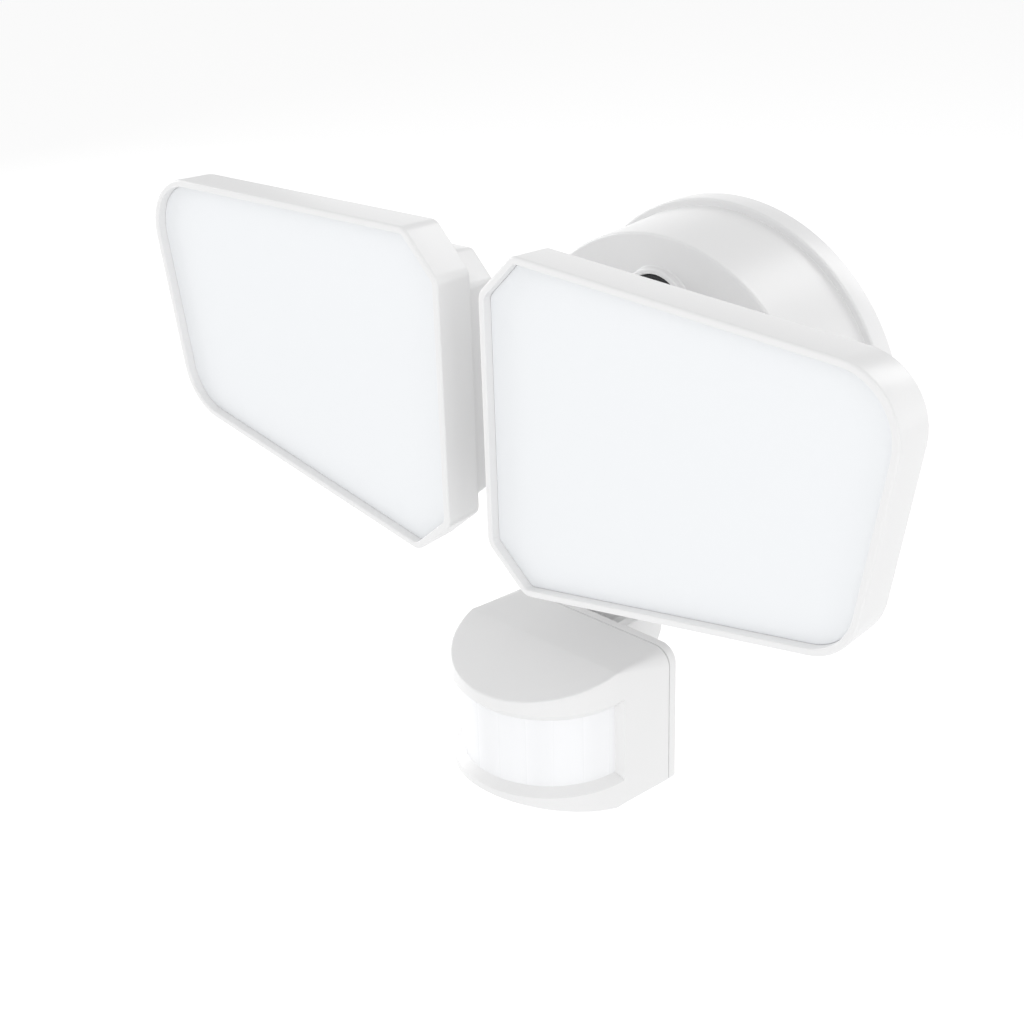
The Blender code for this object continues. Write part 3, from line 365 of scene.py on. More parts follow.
def circuitBoard(name, mask, copper):
    # Solder mask over tracks: a brick pattern stands for tracks, with pads where a cell pattern is
    # small.
    made = Finish(name)
    flat = made.add(
        "ShaderNodeMapping", inputs={"Vector": made.place, "Rotation": (math.pi / 2, 0, 0)}
    )
    tracks = made.add(
        "ShaderNodeTexBrick",
        inputs={"Vector": flat, "Scale": 260.0, "Mortar Size": 0.06, "Mortar Smooth": 0.2},
        output="Fac",
    )
    pads = 1 - made.add("ShaderNodeTexVoronoi", inputs={"Vector": made.place, "Scale": 330.0}) * 3.0
    pads = pads > 0.45
    return made.finish(
        Base_Color=made.blend(pads, made.blend(tracks, mask, shaded(mask, 1.5)), copper),
        Roughness=0.32 + tracks * 0.1,
        Normal=made.bump(tracks + pads * 0.5, 0.03 * mm),
    )


def pottedBox(name, colour):
    # Cast resin case: dull, with a soft mould texture.
    made = Finish(name)
    cast = made.noise(420.0, 3.0)
    return made.finish(
        Base_Color=made.blend(cast, colour, shaded(colour, 1.8)),
        Roughness=0.5 + cast * 0.15,
        Normal=made.bump(cast, 0.03 * mm),
    )


def dyedPlate(name, colour):
    # Dyed steel, cloudy between the colour and 0.7 of it.
    made = Finish(name)
    cloud = made.noise(500.0, 3.0)
    return made.finish(
        Base_Color=made.blend(cloud, colour, shaded(colour, 0.7)),
        Metallic=0.6,
        Roughness=0.34 + cloud * 0.12,
        Normal=made.bump(cloud, 0.01 * mm),
    )


sensorPlan = {
    "seamY": -69.2 * mm,
    "arcY": -86.0 * mm,  # centre of the round front
    "creaseY": -89.3 * mm,
    "midZ": -75.3 * mm,
    "width": 58.6 * mm,
    "seamWidth": 62.4 * mm,
    "creaseHeight": 45.6 * mm,
    "seamHeight": 44.4 * mm,
    "slope": 0.235,
    "windowMidZ": -75.8 * mm,
    "windowHeight": 27.2 * mm,
    "windowStartY": -86.6 * mm,
}

whiteEnamel = enamel("whiteEnamel", enamelLook)
whitePlastic = mouldedPlastic("whitePlastic", plasticLook)
milkWhite = milkyPanel("milkyDiffuser", diffuserLook)
windowWhite = sensorWindow("sensorWindow", windowLook, sensorPlan["arcY"], sensorPlan["windowMidZ"])
blackRubber = rubber("blackRubber", (0.03, 0.03, 0.032))
greyRubber = rubber("greyFoamRubber", (0.42, 0.42, 0.43))
zincSteel = platedSteel("zincSteel", (0.66, 0.67, 0.69), (1, 1, 6))
greenScrew = dyedPlate("greenScrew", (0.04, 0.30, 0.09))
boardGreen = circuitBoard("boardGreen", (0.03, 0.18, 0.08), (0.75, 0.55, 0.25))
boardWhite = circuitBoard("boardWhite", (0.72, 0.72, 0.70), (0.85, 0.78, 0.45))
pottingBlack = pottedBox("pottingBlack", (0.02, 0.02, 0.022))
print("finishes:", len(bpy.data.materials))

finishOfSlot = {
    "white_enamel": whiteEnamel,
    "white_plastic": whitePlastic,
    "diffuser": milkWhite,
    "fresnel_lens": windowWhite,
    "black_rubber": blackRubber,
    "grey_rubber": greyRubber,
    "zinc_plated_steel": zincSteel,
    "green_screw": greenScrew,
    "circuit_board": boardGreen,
    "led_board_white": boardWhite,
    "black_plastic": pottingBlack,
}
slotOfNode = {part["node"]: part["material_slot"] for part in frame["record"]["subparts"]}
for nodeName, node in frame["nodes"].items():
    node.data.materials.clear()
    node.data.materials.append(finishOfSlot[slotOfNode[nodeName]])


canopySizes = {
    "radius": 60.0 * mm,
    "depth": 37.4 * mm,
    "wall": 2.6 * mm,
    "flangeBack": 0.3 * mm,
    "flangeFront": 7.5 * mm,
    "drum": 57.7 * mm,
    "face": 56.6 * mm,
    "collar": 12.6 * mm,
    "collarWall": 1.7 * mm,
    "collarHigh": 2.4 * mm,
    "collarZ": {"lamp": 34.6 * mm, "sensor": -39.0 * mm},
    "stem": 9.0 * mm,
    "stemInside": 5.1 * mm,  # from the inner face of the canopy to the stem's end
    "sealRadius": 10.6 * mm,
}
outwards = (0, -1, 0)


def canopyGrids(s):
    # Half profile of the dish, (radius, distance from the wall), then one for each collar.
    outside = [
        (0, s["depth"]), (s["face"], s["depth"]), (s["drum"], s["flangeFront"]),
        (s["radius"], s["flangeFront"]), (s["radius"], s["flangeBack"]),
        (s["drum"] - s["wall"], s["flangeBack"]),
        (s["face"] - s["wall"], s["depth"] - s["wall"]), (0, s["depth"] - s["wall"]),
    ]
    radii = [0, 0.9 * mm, 0.25 * mm, 0.7 * mm, 0.3 * mm, 0.5 * mm, 1.5 * mm, 0]
    grids = [turned(roundedLine(outside, radii, 7), (0, 0, 0), outwards, 256)]
    inner = s["collar"] - s["collarWall"]
    top = s["depth"] + s["collarHigh"]
    ring = [
        (s["collar"] + 0.9 * mm, s["depth"] - 0.3 * mm),
        (s["collar"], s["depth"] + 0.25 * mm),
        (s["collar"], top),
        (inner, top), (inner, s["depth"] - 0.4 * mm), (s["collar"], s["depth"] - 0.5 * mm),
    ]
    line = closedLine(roundedLine(ring, [0, 0.9 * mm, 0.7 * mm, 0.45 * mm, 0, 0], 6))
    return grids + [turned(line, (0, 0, z), outwards, 128) for z in s["collarZ"].values()]


placed(
    surface("canopyDish", canopyGrids(canopySizes)),
    "base",
    whiteEnamel,
    ["canopy_shell"],
)

gasketSizes = {
    "outer": 54.8 * mm,
    "inner": 52.4 * mm,
    "thick": 1.6 * mm,
    "edge": 0.4 * mm,
}
gasketLine = roundedLine(
    [
        (gasketSizes["outer"], 0), (gasketSizes["outer"], gasketSizes["thick"]),
        (gasketSizes["inner"], gasketSizes["thick"]), (gasketSizes["inner"], 0),
    ],
    [gasketSizes["edge"]] * 4,
)
gasket = surface("foamGasket", [turned(closedLine(gasketLine), (0, 0, 0), outwards, 192)])
placed(gasket, "base", greyRubber, ["wall_gasket"])

capLine = roundedLine(
    [(0, 5.9 * mm), (5.2 * mm, 4.2 * mm), (6.5 * mm, 2.2 * mm), (6.5 * mm, 0.3 * mm), (4.9 * mm, 0.3 * mm),
     (4.9 * mm, 3.2 * mm), (0, 3.2 * mm)],
    [0, 2.0 * mm, 0.8 * mm, 0.2 * mm, 0.1 * mm, 0.1 * mm, 0],
)
capLine[:, 1] = np.minimum(capLine[:, 1], 4.6 * mm)
placed(
    surface("boltCap", [turned(capLine, (0, -canopySizes["depth"], 0), outwards, 64)]),
    "base", whitePlastic, ["bolt_cap"],
)
for name, z in canopySizes["collarZ"].items():
    node = {"lamp": "lamp_arm_seal", "sensor": "sensor_stem_seal"}[name]
    inner, outer = canopySizes["stem"] + 0.3 * mm, canopySizes["sealRadius"]
    low, high = canopySizes["depth"] + 0.3 * mm, canopySizes["depth"] + 1.7 * mm
    sealLine = roundedLine(
        [(inner, low), (outer, low), (outer, high), (inner, high)],
        [0.2 * mm, 0.3 * mm, 0.4 * mm, 0.4 * mm],
    )
    seal = surface(name + "StemSeal", [turned(closedLine(sealLine), (0, 0, z), outwards, 96)])
    placed(seal, "base", blackRubber, [node])
print("canopy done")


def crossRecess(width, length):
    # Reach of a cross-shaped recess at each angle: the further of two slots' edges.
    def reach(angle):
        first = np.minimum(width / 2 / np.maximum(np.abs(np.sin(angle)), 1e-6), length / 2)
        second = np.minimum(width / 2 / np.maximum(np.abs(np.cos(angle)), 1e-6), length / 2)
        return np.maximum(first, second)
    return reach


def slotRecess(width, length):
    # Reach of one straight slot at each angle.
    return lambda angle: np.minimum(width / 2 / np.maximum(np.abs(np.sin(angle)), 1e-6), length / 2)


def recessRings(at, axis, reach, steps):
    # Rings of a recess: the reach at each angle times each step's scale, at each step's height.
    opening = reach(np.linspace(0, 2 * math.pi, 96, endpoint=False))
    rings = [
        turned([(1, height)], at, axis, 96, lambda radius, angle: (opening * scale)[None])
        for scale, height in steps
    ]
    return np.concatenate(rings)


def screwGrid(at, axis, shank, length, head, high, reach, deep, rise=0.35):
    # A turned shank and domed head whose middle rings follow the recess's reach, first at the top,
    # then at its floor.
    edge = high * rise
    body = [(0, -length), (shank, -length), (shank, 0), (head, 0), (head, edge)]
    dome = [
        (head * math.cos(a), edge + (high - edge) * math.sin(a)) for a in np.linspace(0.15, 1.15, 7)
    ]
    rings = roundedLine(body, [0, shank * 0.3, 0, high * 0.1, 0], 3)
    grid = turned(np.concatenate([rings, dome]), at, axis, 96)
    top = dome[-1][1]
    steps = [(1.12, top + (high - top) * 0.6), (1.0, high), (0.96, high - 0.12 * mm)]
    steps += [(0.85, high - deep), (0.0, high - deep)]
    return np.concatenate([grid, recessRings(at, axis, reach, steps)])


screwSizes = {"shank": 1.6 * mm, "head": 3.0 * mm, "high": 1.9 * mm}
boltSizes = {"shank": 3.0 * mm, "head": 6.6 * mm, "high": 4.0 * mm}
pinSizes = {"shank": 2.4 * mm, "head": 4.4 * mm, "high": 2.4 * mm}
tiltPinSizes = {"shank": 2.4 * mm, "head": 4.2 * mm, "high": 2.2 * mm}


def headScrew(node, at, axis, length, body, s=screwSizes):
    # A screw or pin of plated steel with a cross in its head.
    head, high = s["head"], s["high"]
    grid = screwGrid(
        at, axis, s["shank"], length, head, high, crossRecess(head * 0.3, head * 1.25), high * 0.55
    )
    name = "".join(word.capitalize() if i else word for i, word in enumerate(node.split("_")))
    return placed(surface(name + "Turned", [grid]), body, zincSteel, [node])


armSizes = {
    "tubeY": -62.0 * mm,
    "tubeZ": 26.0 * mm,
    "tubeRadius": 9.6 * mm,
    "tubeHalf": 27.0 * mm,
    "knuckleWidth": 12.0 * mm,
    "knuckleRadius": 10.4 * mm,
    "panY": -81.0 * mm,
    "eyeRadius": 7.0 * mm,
    "eyeHeight": 9.0 * mm,
    "boltLength": 24.0 * mm,
}
gap = 0.3 * mm


def roller(at, axis, radius, length, edge, steps=96):
    # A short cylinder with rounded rims.
    line = roundedLine([(0, 0), (radius, 0), (radius, length), (0, length)], [0, edge, edge, 0], 5)
    return turned(line, at, axis, steps)


def lampArmGrids(s, c):
    # The stem goes from its collar to the cross tube by share * share * (3 - 2 * share).
    start = -(c["depth"] - c["wall"]) + c["stemInside"]
    clear = -c["depth"] - c["collarHigh"]
    share = np.linspace(0, 1, 25)
    fall = share * share * (3 - 2 * share)
    bend = np.stack(
        [
            clear + (s["tubeY"] - clear) * share,
            c["collarZ"]["lamp"] + (s["tubeZ"] - c["collarZ"]["lamp"]) * fall,
        ],
        1,
    )
    path = np.concatenate([[(start, c["collarZ"]["lamp"])], bend])
    return [
        bar(path, c["stem"], 96),
        roller(
            (-s["tubeHalf"], s["tubeY"], s["tubeZ"]),
            (1, 0, 0),
            s["tubeRadius"],
            2 * s["tubeHalf"],
            0.9 * mm,
            128,
        ),
    ]


placed(
    surface("lampArmTee", lampArmGrids(armSizes, canopySizes)),
    "base",
    whiteEnamel,
    ["lamp_arm"],
)


def tongueOutline(x, back, front, half, radius, steps=24):
    # Plan of a tongue from back to a round end at front, as a loop that an inset draws in.
    way = 1 if front > back else -1

    def outline(inset):
        turn = np.linspace(0, math.pi, steps + 1)
        reach = radius - inset
        nose = np.stack([x + reach * np.cos(turn), front + way * reach * np.sin(turn)], 1)
        heel = np.array(
            [(x - half + inset, back + way * inset), (x + half - inset, back + way * inset)]
        )
        return np.concatenate([nose, heel])
    return outline


def level(line, height):
    # Plan points (x, y) at a height.
    return np.stack([line[:, 0], line[:, 1], height], 1)


def knuckleGrids(side, s):
    # The hub beside the cross tube, and the flat eye that the head turns on.
    inner = s["tubeHalf"] + gap
    x = side * (inner + s["knuckleWidth"] / 2)
    hub = roller(
        (side * inner, s["tubeY"], s["tubeZ"]),
        (side, 0, 0),
        s["knuckleRadius"],
        s["knuckleWidth"],
        1.0 * mm,
        128,
    )
    low = s["tubeZ"] - s["eyeHeight"] / 2
    outline = tongueOutline(x, s["tubeY"] - 5 * mm, s["panY"], 4.6 * mm, s["eyeRadius"] - 0.02 * mm)
    return [hub, slab(outline, low, low + s["eyeHeight"], 0.5 * mm, level)]


for prefix, side in (("left", -1), ("right", 1)):
    knuckle = surface(prefix + "KnuckleHub", knuckleGrids(side, armSizes))
    placed(knuckle, prefix + "_knuckle", whiteEnamel, [prefix + "_knuckle"])
    seat = side * (armSizes["tubeHalf"] + 2 * gap + armSizes["knuckleWidth"])
    headScrew(
        prefix + "_tilt_bolt",
        (seat, armSizes["tubeY"], armSizes["tubeZ"]),
        (side, 0, 0),
        armSizes["boltLength"],
        "base",
        boltSizes,
    )
print("lamp arm done")


headSizes = {
    "frontY": -117.0 * mm,
    "centreZ": 26.0 * mm,
    "width": 120.0 * mm,
    "height": 96.5 * mm,
    "depth": 12.5 * mm,
    "split": 7.3 * mm,
    "topFall": 0.037,
    "bottomRise": 0.180,
    "sideLean": 0.173,
    "chamferTop": (12.0 * mm, 12.6 * mm),
    "chamferBottom": (13.4 * mm, 14.0 * mm),
    "chamferRadius": 4.5 * mm,
    "cornerRadius": 17.0 * mm,
    "draft": 0.7 * mm,
    "lip": 2.05 * mm,
    "lipDeep": 2.5 * mm,
    "edge": 0.7 * mm,  # rounding of the outer front edge
    "panel": 2.0 * mm,
}
rearSizes = {
    "deep": 11.5 * mm,
    "draft": 2.0 * mm,
    "insets": {
        "inner": 2.0 * mm,
        "top": 9.0 * mm,
        "outer": 8.0 * mm,
        "bottom": 8.0 * mm,
        "chamfer": 5.0 * mm,
    },
    "cornerRadius": 8.0 * mm,
    "chamferRadius": 4.0 * mm,
    "edge": 1.6 * mm,
    "faceInset": 10.0 * mm,  # the outline crosses itself from 14 mm
    "screwInset": 10.0 * mm,
    "screwLength": 13.5 * mm,
    "pinLength": 19.6 * mm,
    "ear": 4.0 * mm,
}


def headCorners(s, insets):
    # The outline's six lines, each moved inwards, and where neighbours cross: u outwards, v
    # upwards.
    top = s["height"] / 2
    cutU, cutV = s["chamferTop"]
    lowU, lowV = s["chamferBottom"]
    wide, fall, rise, lean = s["width"], s["topFall"], s["bottomRise"], s["sideLean"]
    lines = [
        ((0, -top + lowV), (0, top - cutV), insets["inner"]),
        ((0, top - cutV), (cutU, top - fall * cutU), insets["chamfer"]),
        ((0, top), (wide, top - fall * wide), insets["top"]),
        ((wide + lean * top, top), (wide - lean * top, -top), insets["outer"]),
        ((wide, -top + rise * wide), (0, -top), insets["bottom"]),
        ((lowU, -top + rise * lowU), (0, -top + lowV), insets["chamfer"]),
    ]
    start = np.array([line[0] for line in lines])
    along = np.array([line[1] for line in lines]) - start
    along /= np.linalg.norm(along, axis=1)[:, None]
    inwards = np.stack([along[:, 1], -along[:, 0]], 1)
    start = start + inwards * np.array([line[2] for line in lines])[:, None]
    nextStart, nextAlong = np.roll(start, -1, 0), np.roll(along, -1, 0)
    apart = nextStart - start
    reach = (apart[:, 0] * nextAlong[:, 1] - apart[:, 1] * nextAlong[:, 0]) / (
        along[:, 0] * nextAlong[:, 1] - along[:, 1] * nextAlong[:, 0]
    )
    return start + along * reach[:, None]


def headLoop(side, s, insets, corner, chamfer, steps=12):
    # The rounded outline in the row frame's x and z.
    corners = headCorners(s, insets)
    loop = roundedLine(corners, [chamfer, chamfer, corner, corner, chamfer, chamfer], steps)
    loop = np.stack([side * (s["split"] + loop[:, 0]), s["centreZ"] + loop[:, 1]], 1)
    return loop


def evenLoop(side, s, inset):
    # The head's outline drawn in evenly, its corner radii smaller by the inset.
    insets = dict.fromkeys(rearSizes["insets"], inset)
    return headLoop(
        side,
        s,
        insets,
        max(s["cornerRadius"] - inset, 0.3 * mm),
        max(s["chamferRadius"] - inset, 0.3 * mm),
    )


def rearLoop(side, s, r, more):
    # The rear housing's outline: each side at its own inset, plus more.
    insets = {edge: value + more for edge, value in r["insets"].items()}
    return headLoop(
        side,
        s,
        insets,
        max(r["cornerRadius"] - more, 0.3 * mm),
        max(r["chamferRadius"] - more, 0.3 * mm),
    )


def upright(loop, y):
    # Loop points (x, z) at y.
    return np.stack([loop[:, 0], np.full(len(loop), y), loop[:, 1]], 1)


faceInset = 18 * mm  # the last ring of a flat face before its middle point


def carried(profile, loopAt):
    # A profile of (inset, y) carried round a loop, closed at both ends.
    return capped(np.array([upright(loopAt(inset), y) for inset, y in profile]))


def frameGrid(side, s):
    # The bezel: drafted outside, with a lip in front and a floor behind the panel.
    front, back = s["frontY"], s["frontY"] + s["depth"]
    floor = back - s["panel"]
    profile = [
        (faceInset, back),
        (s["draft"], back),
        (0, front),
        (s["lip"], front),
        (s["lip"] + 0.12 * mm, floor),
        (faceInset, floor),
    ]
    line = roundedLine(profile, [0, 0.6 * mm, s["edge"], 0.35 * mm, 0.2 * mm, 0], 6)
    return carried(line, lambda inset: evenLoop(side, s, inset))


def panelGrid(side, s, inset, front, thick, edge):
    # A flat panel with rounded rims inside the head's outline.
    profile = [
        (faceInset, front), (inset, front), (inset, front + thick), (faceInset, front + thick)
    ]
    line = roundedLine(profile, [0, edge, edge * 0.5, 0], 5)
    return carried(line, lambda more: evenLoop(side, s, more))


def rearGrids(side, s, r, arm, panX):
    # The stepped housing, and an ear above and below the knuckle's eye.
    front = s["frontY"] + s["depth"] + gap
    back = front + r["deep"]
    profile = [(r["faceInset"], front), (0, front), (r["draft"], back), (r["faceInset"], back)]
    line = roundedLine(profile, [0, 0.4 * mm, r["edge"], 0], 8)
    grids = [carried(line, lambda more: rearLoop(side, s, r, more))]
    offset = arm["eyeHeight"] / 2 + gap
    outline = tongueOutline(
        panX, back - 3 * mm, arm["panY"], arm["eyeRadius"] - 0.5 * mm, arm["eyeRadius"] - 0.25 * mm
    )
    for low in (arm["tubeZ"] + offset, arm["tubeZ"] - offset - r["ear"]):
        grids.append(slab(outline, low, low + r["ear"], 0.6 * mm, level))
    return grids


for prefix, side in (("left", -1), ("right", 1)):
    body = prefix + "_head"
    panX = side * (armSizes["tubeHalf"] + gap + armSizes["knuckleWidth"] / 2)
    placed(
        surface(prefix + "HeadBezel", [frameGrid(side, headSizes)]),
        body,
        whiteEnamel,
        [prefix + "_head_frame"],
    )
    front = headSizes["frontY"] + headSizes["lipDeep"]
    panel = panelGrid(side, headSizes, headSizes["lip"] + 0.06 * mm, front, 2 * mm, 0.22 * mm)
    placed(
        surface(prefix + "MilkPanel", [panel]), body, milkWhite, [prefix + "_diffuser"]
    )
    rear = surface(prefix + "RearHousing", rearGrids(side, headSizes, rearSizes, armSizes, panX))
    placed(rear, body, whiteEnamel, [prefix + "_rear_housing"])
    earTop = armSizes["tubeZ"] + armSizes["eyeHeight"] / 2 + 2 * gap + rearSizes["ear"]
    headScrew(
        prefix + "_pan_pin",
        (panX, armSizes["panY"], earTop),
        (0, 0, 1),
        rearSizes["pinLength"],
        body,
        pinSizes,
    )
    rearBack = headSizes["frontY"] + headSizes["depth"] + gap + rearSizes["deep"]
    corners = headCorners(
        headSizes,
        {edge: value + rearSizes["screwInset"] for edge, value in rearSizes["insets"].items()},
    )
    for number, (u, v) in enumerate(corners[1:5], 1):
        at = (side * (headSizes["split"] + u), rearBack + gap, headSizes["centreZ"] + v)
        headScrew(f"{prefix}_screw_{number}", at, (0, 1, 0), rearSizes["screwLength"], body)
print("lamp heads done")


shellLook = {
    "cornerRadius": 5.5 * mm,  # top corners at the seam
    "edgeRadius": 0.5 * mm,  # along the crease and the round front
    "lowRadius": 1.0 * mm,
    "creaseSoft": 0.10 * mm,
    "recess": 3.0 * mm,  # how deep the window opening is
    "slantLow": 3.0 * mm,  # height over which the opening's rim leans in
    "slantHigh": 3.2 * mm,
    "slantSide": 1.7 * mm,
    "lensRadius": 26.8 * mm,
}


def halfHeight(y, s, look):
    # The lower of two lines, level behind the crease and falling in front of it, with a soft corner
    # between them.
    past = y - s["creaseY"]
    lost = past * (s["creaseHeight"] - s["seamHeight"]) / 2 / (s["seamY"] - s["creaseY"])
    behind = s["creaseHeight"] / 2 - lost
    ahead = s["creaseHeight"] / 2 + s["slope"] * past
    apart = behind - ahead
    soft = look["creaseSoft"]
    return (behind + ahead - np.sqrt(apart * apart + soft**2)) / 2 + soft * 0.05


def smooth(t):
    t = np.clip(t, 0, 1)
    return t * t * (3 - 2 * t)


def shellRows(s):
    # Places round the right-hand half in plan: down the flared side, then round the arc. Gives
    # points and inward normals.
    radius = s["width"] / 2
    start = math.asin((s["arcY"] - s["windowStartY"]) / radius)
    crease = math.asin((s["arcY"] - s["creaseY"]) / (radius - shellLook["edgeRadius"]))
    slant = start + shellLook["slantSide"] / radius
    straight = np.linspace(0, 1, 14)[:-1]
    turns = np.concatenate([
        np.linspace(0, start, 4)[:-1],
        np.linspace(start, slant, 6)[:-1],
        np.linspace(slant, crease * 0.9, 4)[:-1],
        np.linspace(crease * 0.9, crease * 1.1, 7)[:-1], np.linspace(crease * 1.1, math.pi / 2, 74),
    ])
    y = np.concatenate(
        [s["seamY"] + (s["arcY"] - s["seamY"]) * straight, s["arcY"] - radius * np.sin(turns)]
    )
    x = np.concatenate(
        [(s["seamWidth"] + (s["width"] - s["seamWidth"]) * straight) / 2, radius * np.cos(turns)]
    )
    inward = np.stack([
        np.concatenate([-np.ones(13), -np.cos(turns)]),
        np.concatenate([np.zeros(13), np.sin(turns)]),
    ], 1)
    opened = np.concatenate([np.zeros(13), np.clip((turns - start) / (slant - start), 0, 1)])
    return np.stack([x, y], 1), inward, opened


def shellGrid(s, look):
    # Each row runs from the middle of the underside, out, up the wall and back in over the top,
    # then mirrored.
    place, inward, opened = shellRows(s)
    y = place[:, 1]
    back = np.clip((y - s["creaseY"]) / (s["seamY"] - s["creaseY"]), 0, 1)
    topRadius = look["edgeRadius"] + (look["cornerRadius"] - look["edgeRadius"]) * back
    lowRadius = np.full(len(y), look["lowRadius"])
    arc = np.linspace(0, math.pi / 2, 9)
    low = s["windowMidZ"] - s["windowHeight"] / 2
    high = s["windowMidZ"] + s["windowHeight"] / 2

    def corner(radius, sign):
        # offset inwards radius * (1 - cos a), height radius * (1 - sin a) short of the face above
        inset = radius[:, None] * (1 - np.cos(arc))
        point = place[:, None] + inward[:, None] * inset[..., None]
        face = halfHeight(point[..., 1], s, look) - radius[:, None] * (1 - np.sin(arc))
        return np.concatenate([point, (s["midZ"] + sign * face)[..., None]], 2)

    top, bottom = corner(topRadius, 1), corner(lowRadius, -1)[:, ::-1]
    wallLow, wallHigh = bottom[:, -1, 2], top[:, 0, 2]
    share = np.linspace(0, 1, 5)[1:]
    lower = wallLow[:, None] + (low - wallLow)[:, None] * share
    upper = high + (wallHigh - high)[:, None] * np.linspace(0, 1, 5)[:-1]
    middle = np.concatenate([
        low + look["slantLow"] * np.linspace(0, 1, 7)[1:],
        np.linspace(low + look["slantLow"], high - look["slantHigh"], 5)[1:-1],
        high - look["slantHigh"] * np.linspace(1, 0, 4)[:-1],
    ])
    height = np.concatenate([lower, np.broadcast_to(middle, (len(y), len(middle))), upper], 1)
    ramp = np.minimum(
        np.clip((height - low) / look["slantLow"], 0, 1),
        np.clip((high - height) / look["slantHigh"], 0, 1),
    )
    depth = look["recess"] * np.minimum(ramp, opened[:, None])
    wall = np.concatenate(
        [place[:, None] + inward[:, None] * depth[..., None], height[..., None]], 2
    )

    def across(rim, count):
        # level strip from the rim to the middle plane
        share = np.linspace(1, 0, count + 1)[1:-1]
        x = rim[:, 0, None] * share
        flat = np.broadcast_to(rim[:, None, 1:], (len(rim), len(share), 2))
        return np.concatenate([x[..., None], flat], 2)

    under, over = across(bottom[:, 0], 8)[:, ::-1], across(top[:, -1], 8)
    half = np.concatenate([under, bottom, wall, top, over], 1)
    return capped(np.concatenate([half, half[:, ::-1] * (-1, 1, 1)], 1))[:-1]


def sensorSection(s, inset, look, y):
    # The back plate's outline: large radii above, small ones below.
    half, high = s["seamWidth"] / 2 - inset, s["seamHeight"] / 2 - inset
    corners = [(-half, -high), (-half, high), (half, high), (half, -high)]
    big = max(look["cornerRadius"] - inset, 0.2 * mm)
    small = max(look["lowRadius"] - inset, 0.2 * mm)
    loop = roundedLine(corners, [small, big, big, small], 10)
    return np.stack([loop[:, 0], np.full(len(loop), y), loop[:, 1] + s["midZ"]], 1)


placed(
    surface("sensorBody", [shellGrid(sensorPlan, shellLook)]),
    "sensor",
    whitePlastic,
    ["sensor_front_shell"],
    30,
)


def windowGrid(s, look):
    # A band round the front: its cross-section of radius and height is carried from one side to the
    # other.
    low = s["windowMidZ"] - s["windowHeight"] / 2 - 0.6 * mm
    high = s["windowMidZ"] + s["windowHeight"] / 2 + 0.6 * mm
    outer, inner = look["lensRadius"], look["lensRadius"] - 1.2 * mm
    section = roundedLine(
        [(outer, low), (outer, high), (inner, high), (inner, low)], [0.3 * mm] * 4, 3
    )
    turn = np.linspace(0, math.pi, 181)
    x = section[None, :, 0] * np.cos(turn)[:, None]
    y = s["arcY"] - section[None, :, 0] * np.sin(turn)[:, None]
    z = np.broadcast_to(section[None, :, 1], x.shape)
    return capped(np.stack([x, y, z], 2))


placed(
    surface("ribbedWindow", [windowGrid(sensorPlan, shellLook)]),
    "sensor",
    windowWhite,
    ["sensor_lens"],
)

jointSizes = {
    "hubY": -52.5 * mm,
    "hubRadius": 10.4 * mm,
    "hubHeight": 11.0 * mm,
    "discHeight": 5.0 * mm,
    "neckRadius": 9.4 * mm,
    "tiltY": -55.5 * mm,
    "tiltZ": -60.0 * mm,
    "lugWidth": 16.0 * mm,
    "lugRadius": 6.5 * mm,
    "lugNeck": 6.0 * mm,
    "cheek": 3.5 * mm,
    "plateFront": -68.8 * mm,
    "plateBack": -65.6 * mm,
    "pinLength": 17.0 * mm,
    "pinSkin": 1.6 * mm,  # how far the blind tilt pin stops short of the right-hand side
    "screwX": 22.0 * mm,
    "screwDrop": 12.0 * mm,
    "screwLength": 9.2 * mm,
}
dialSizes = {
    "x": 10.0 * mm,
    "y": -77.0 * mm,
    "radius": 4.0 * mm,
    "slotWidth": 1.0 * mm,
    "slotLength": 6.2 * mm,
    "slotDeep": 1.2 * mm,
}


def backPlateGrids(s, look, j):
    # The plate behind the seam, and a cheek on each side of the swivel's lug.
    profile = [
        (faceInset, j["plateFront"]),
        (0, j["plateFront"]),
        (0, j["plateBack"]),
        (faceInset, j["plateBack"]),
    ]
    line = roundedLine(profile, [0, 0.3 * mm, 0.9 * mm, 0], 6)
    grids = [capped(np.array([sensorSection(s, inset, look, y) for inset, y in line]))]
    for side in (-1, 1):
        inner = j["lugWidth"] / 2 + gap
        low = min(side * inner, side * (inner + j["cheek"]))
        outline = tongueOutline(
            j["tiltZ"],
            j["plateBack"] - 1 * mm,
            j["tiltY"],
            j["lugRadius"],
            j["lugRadius"] - 0.1 * mm,
        )
        grids.append(slab(outline, low, low + j["cheek"], 0.7 * mm, sideways))
    return grids


def sideways(line, x):
    # Outline points (z, y) at x.
    return np.stack([x, line[:, 1], line[:, 0]], 1)


plate = surface("sensorBackPlate", backPlateGrids(sensorPlan, shellLook, jointSizes))
placed(plate, "sensor", whitePlastic, ["sensor_rear_shell"])


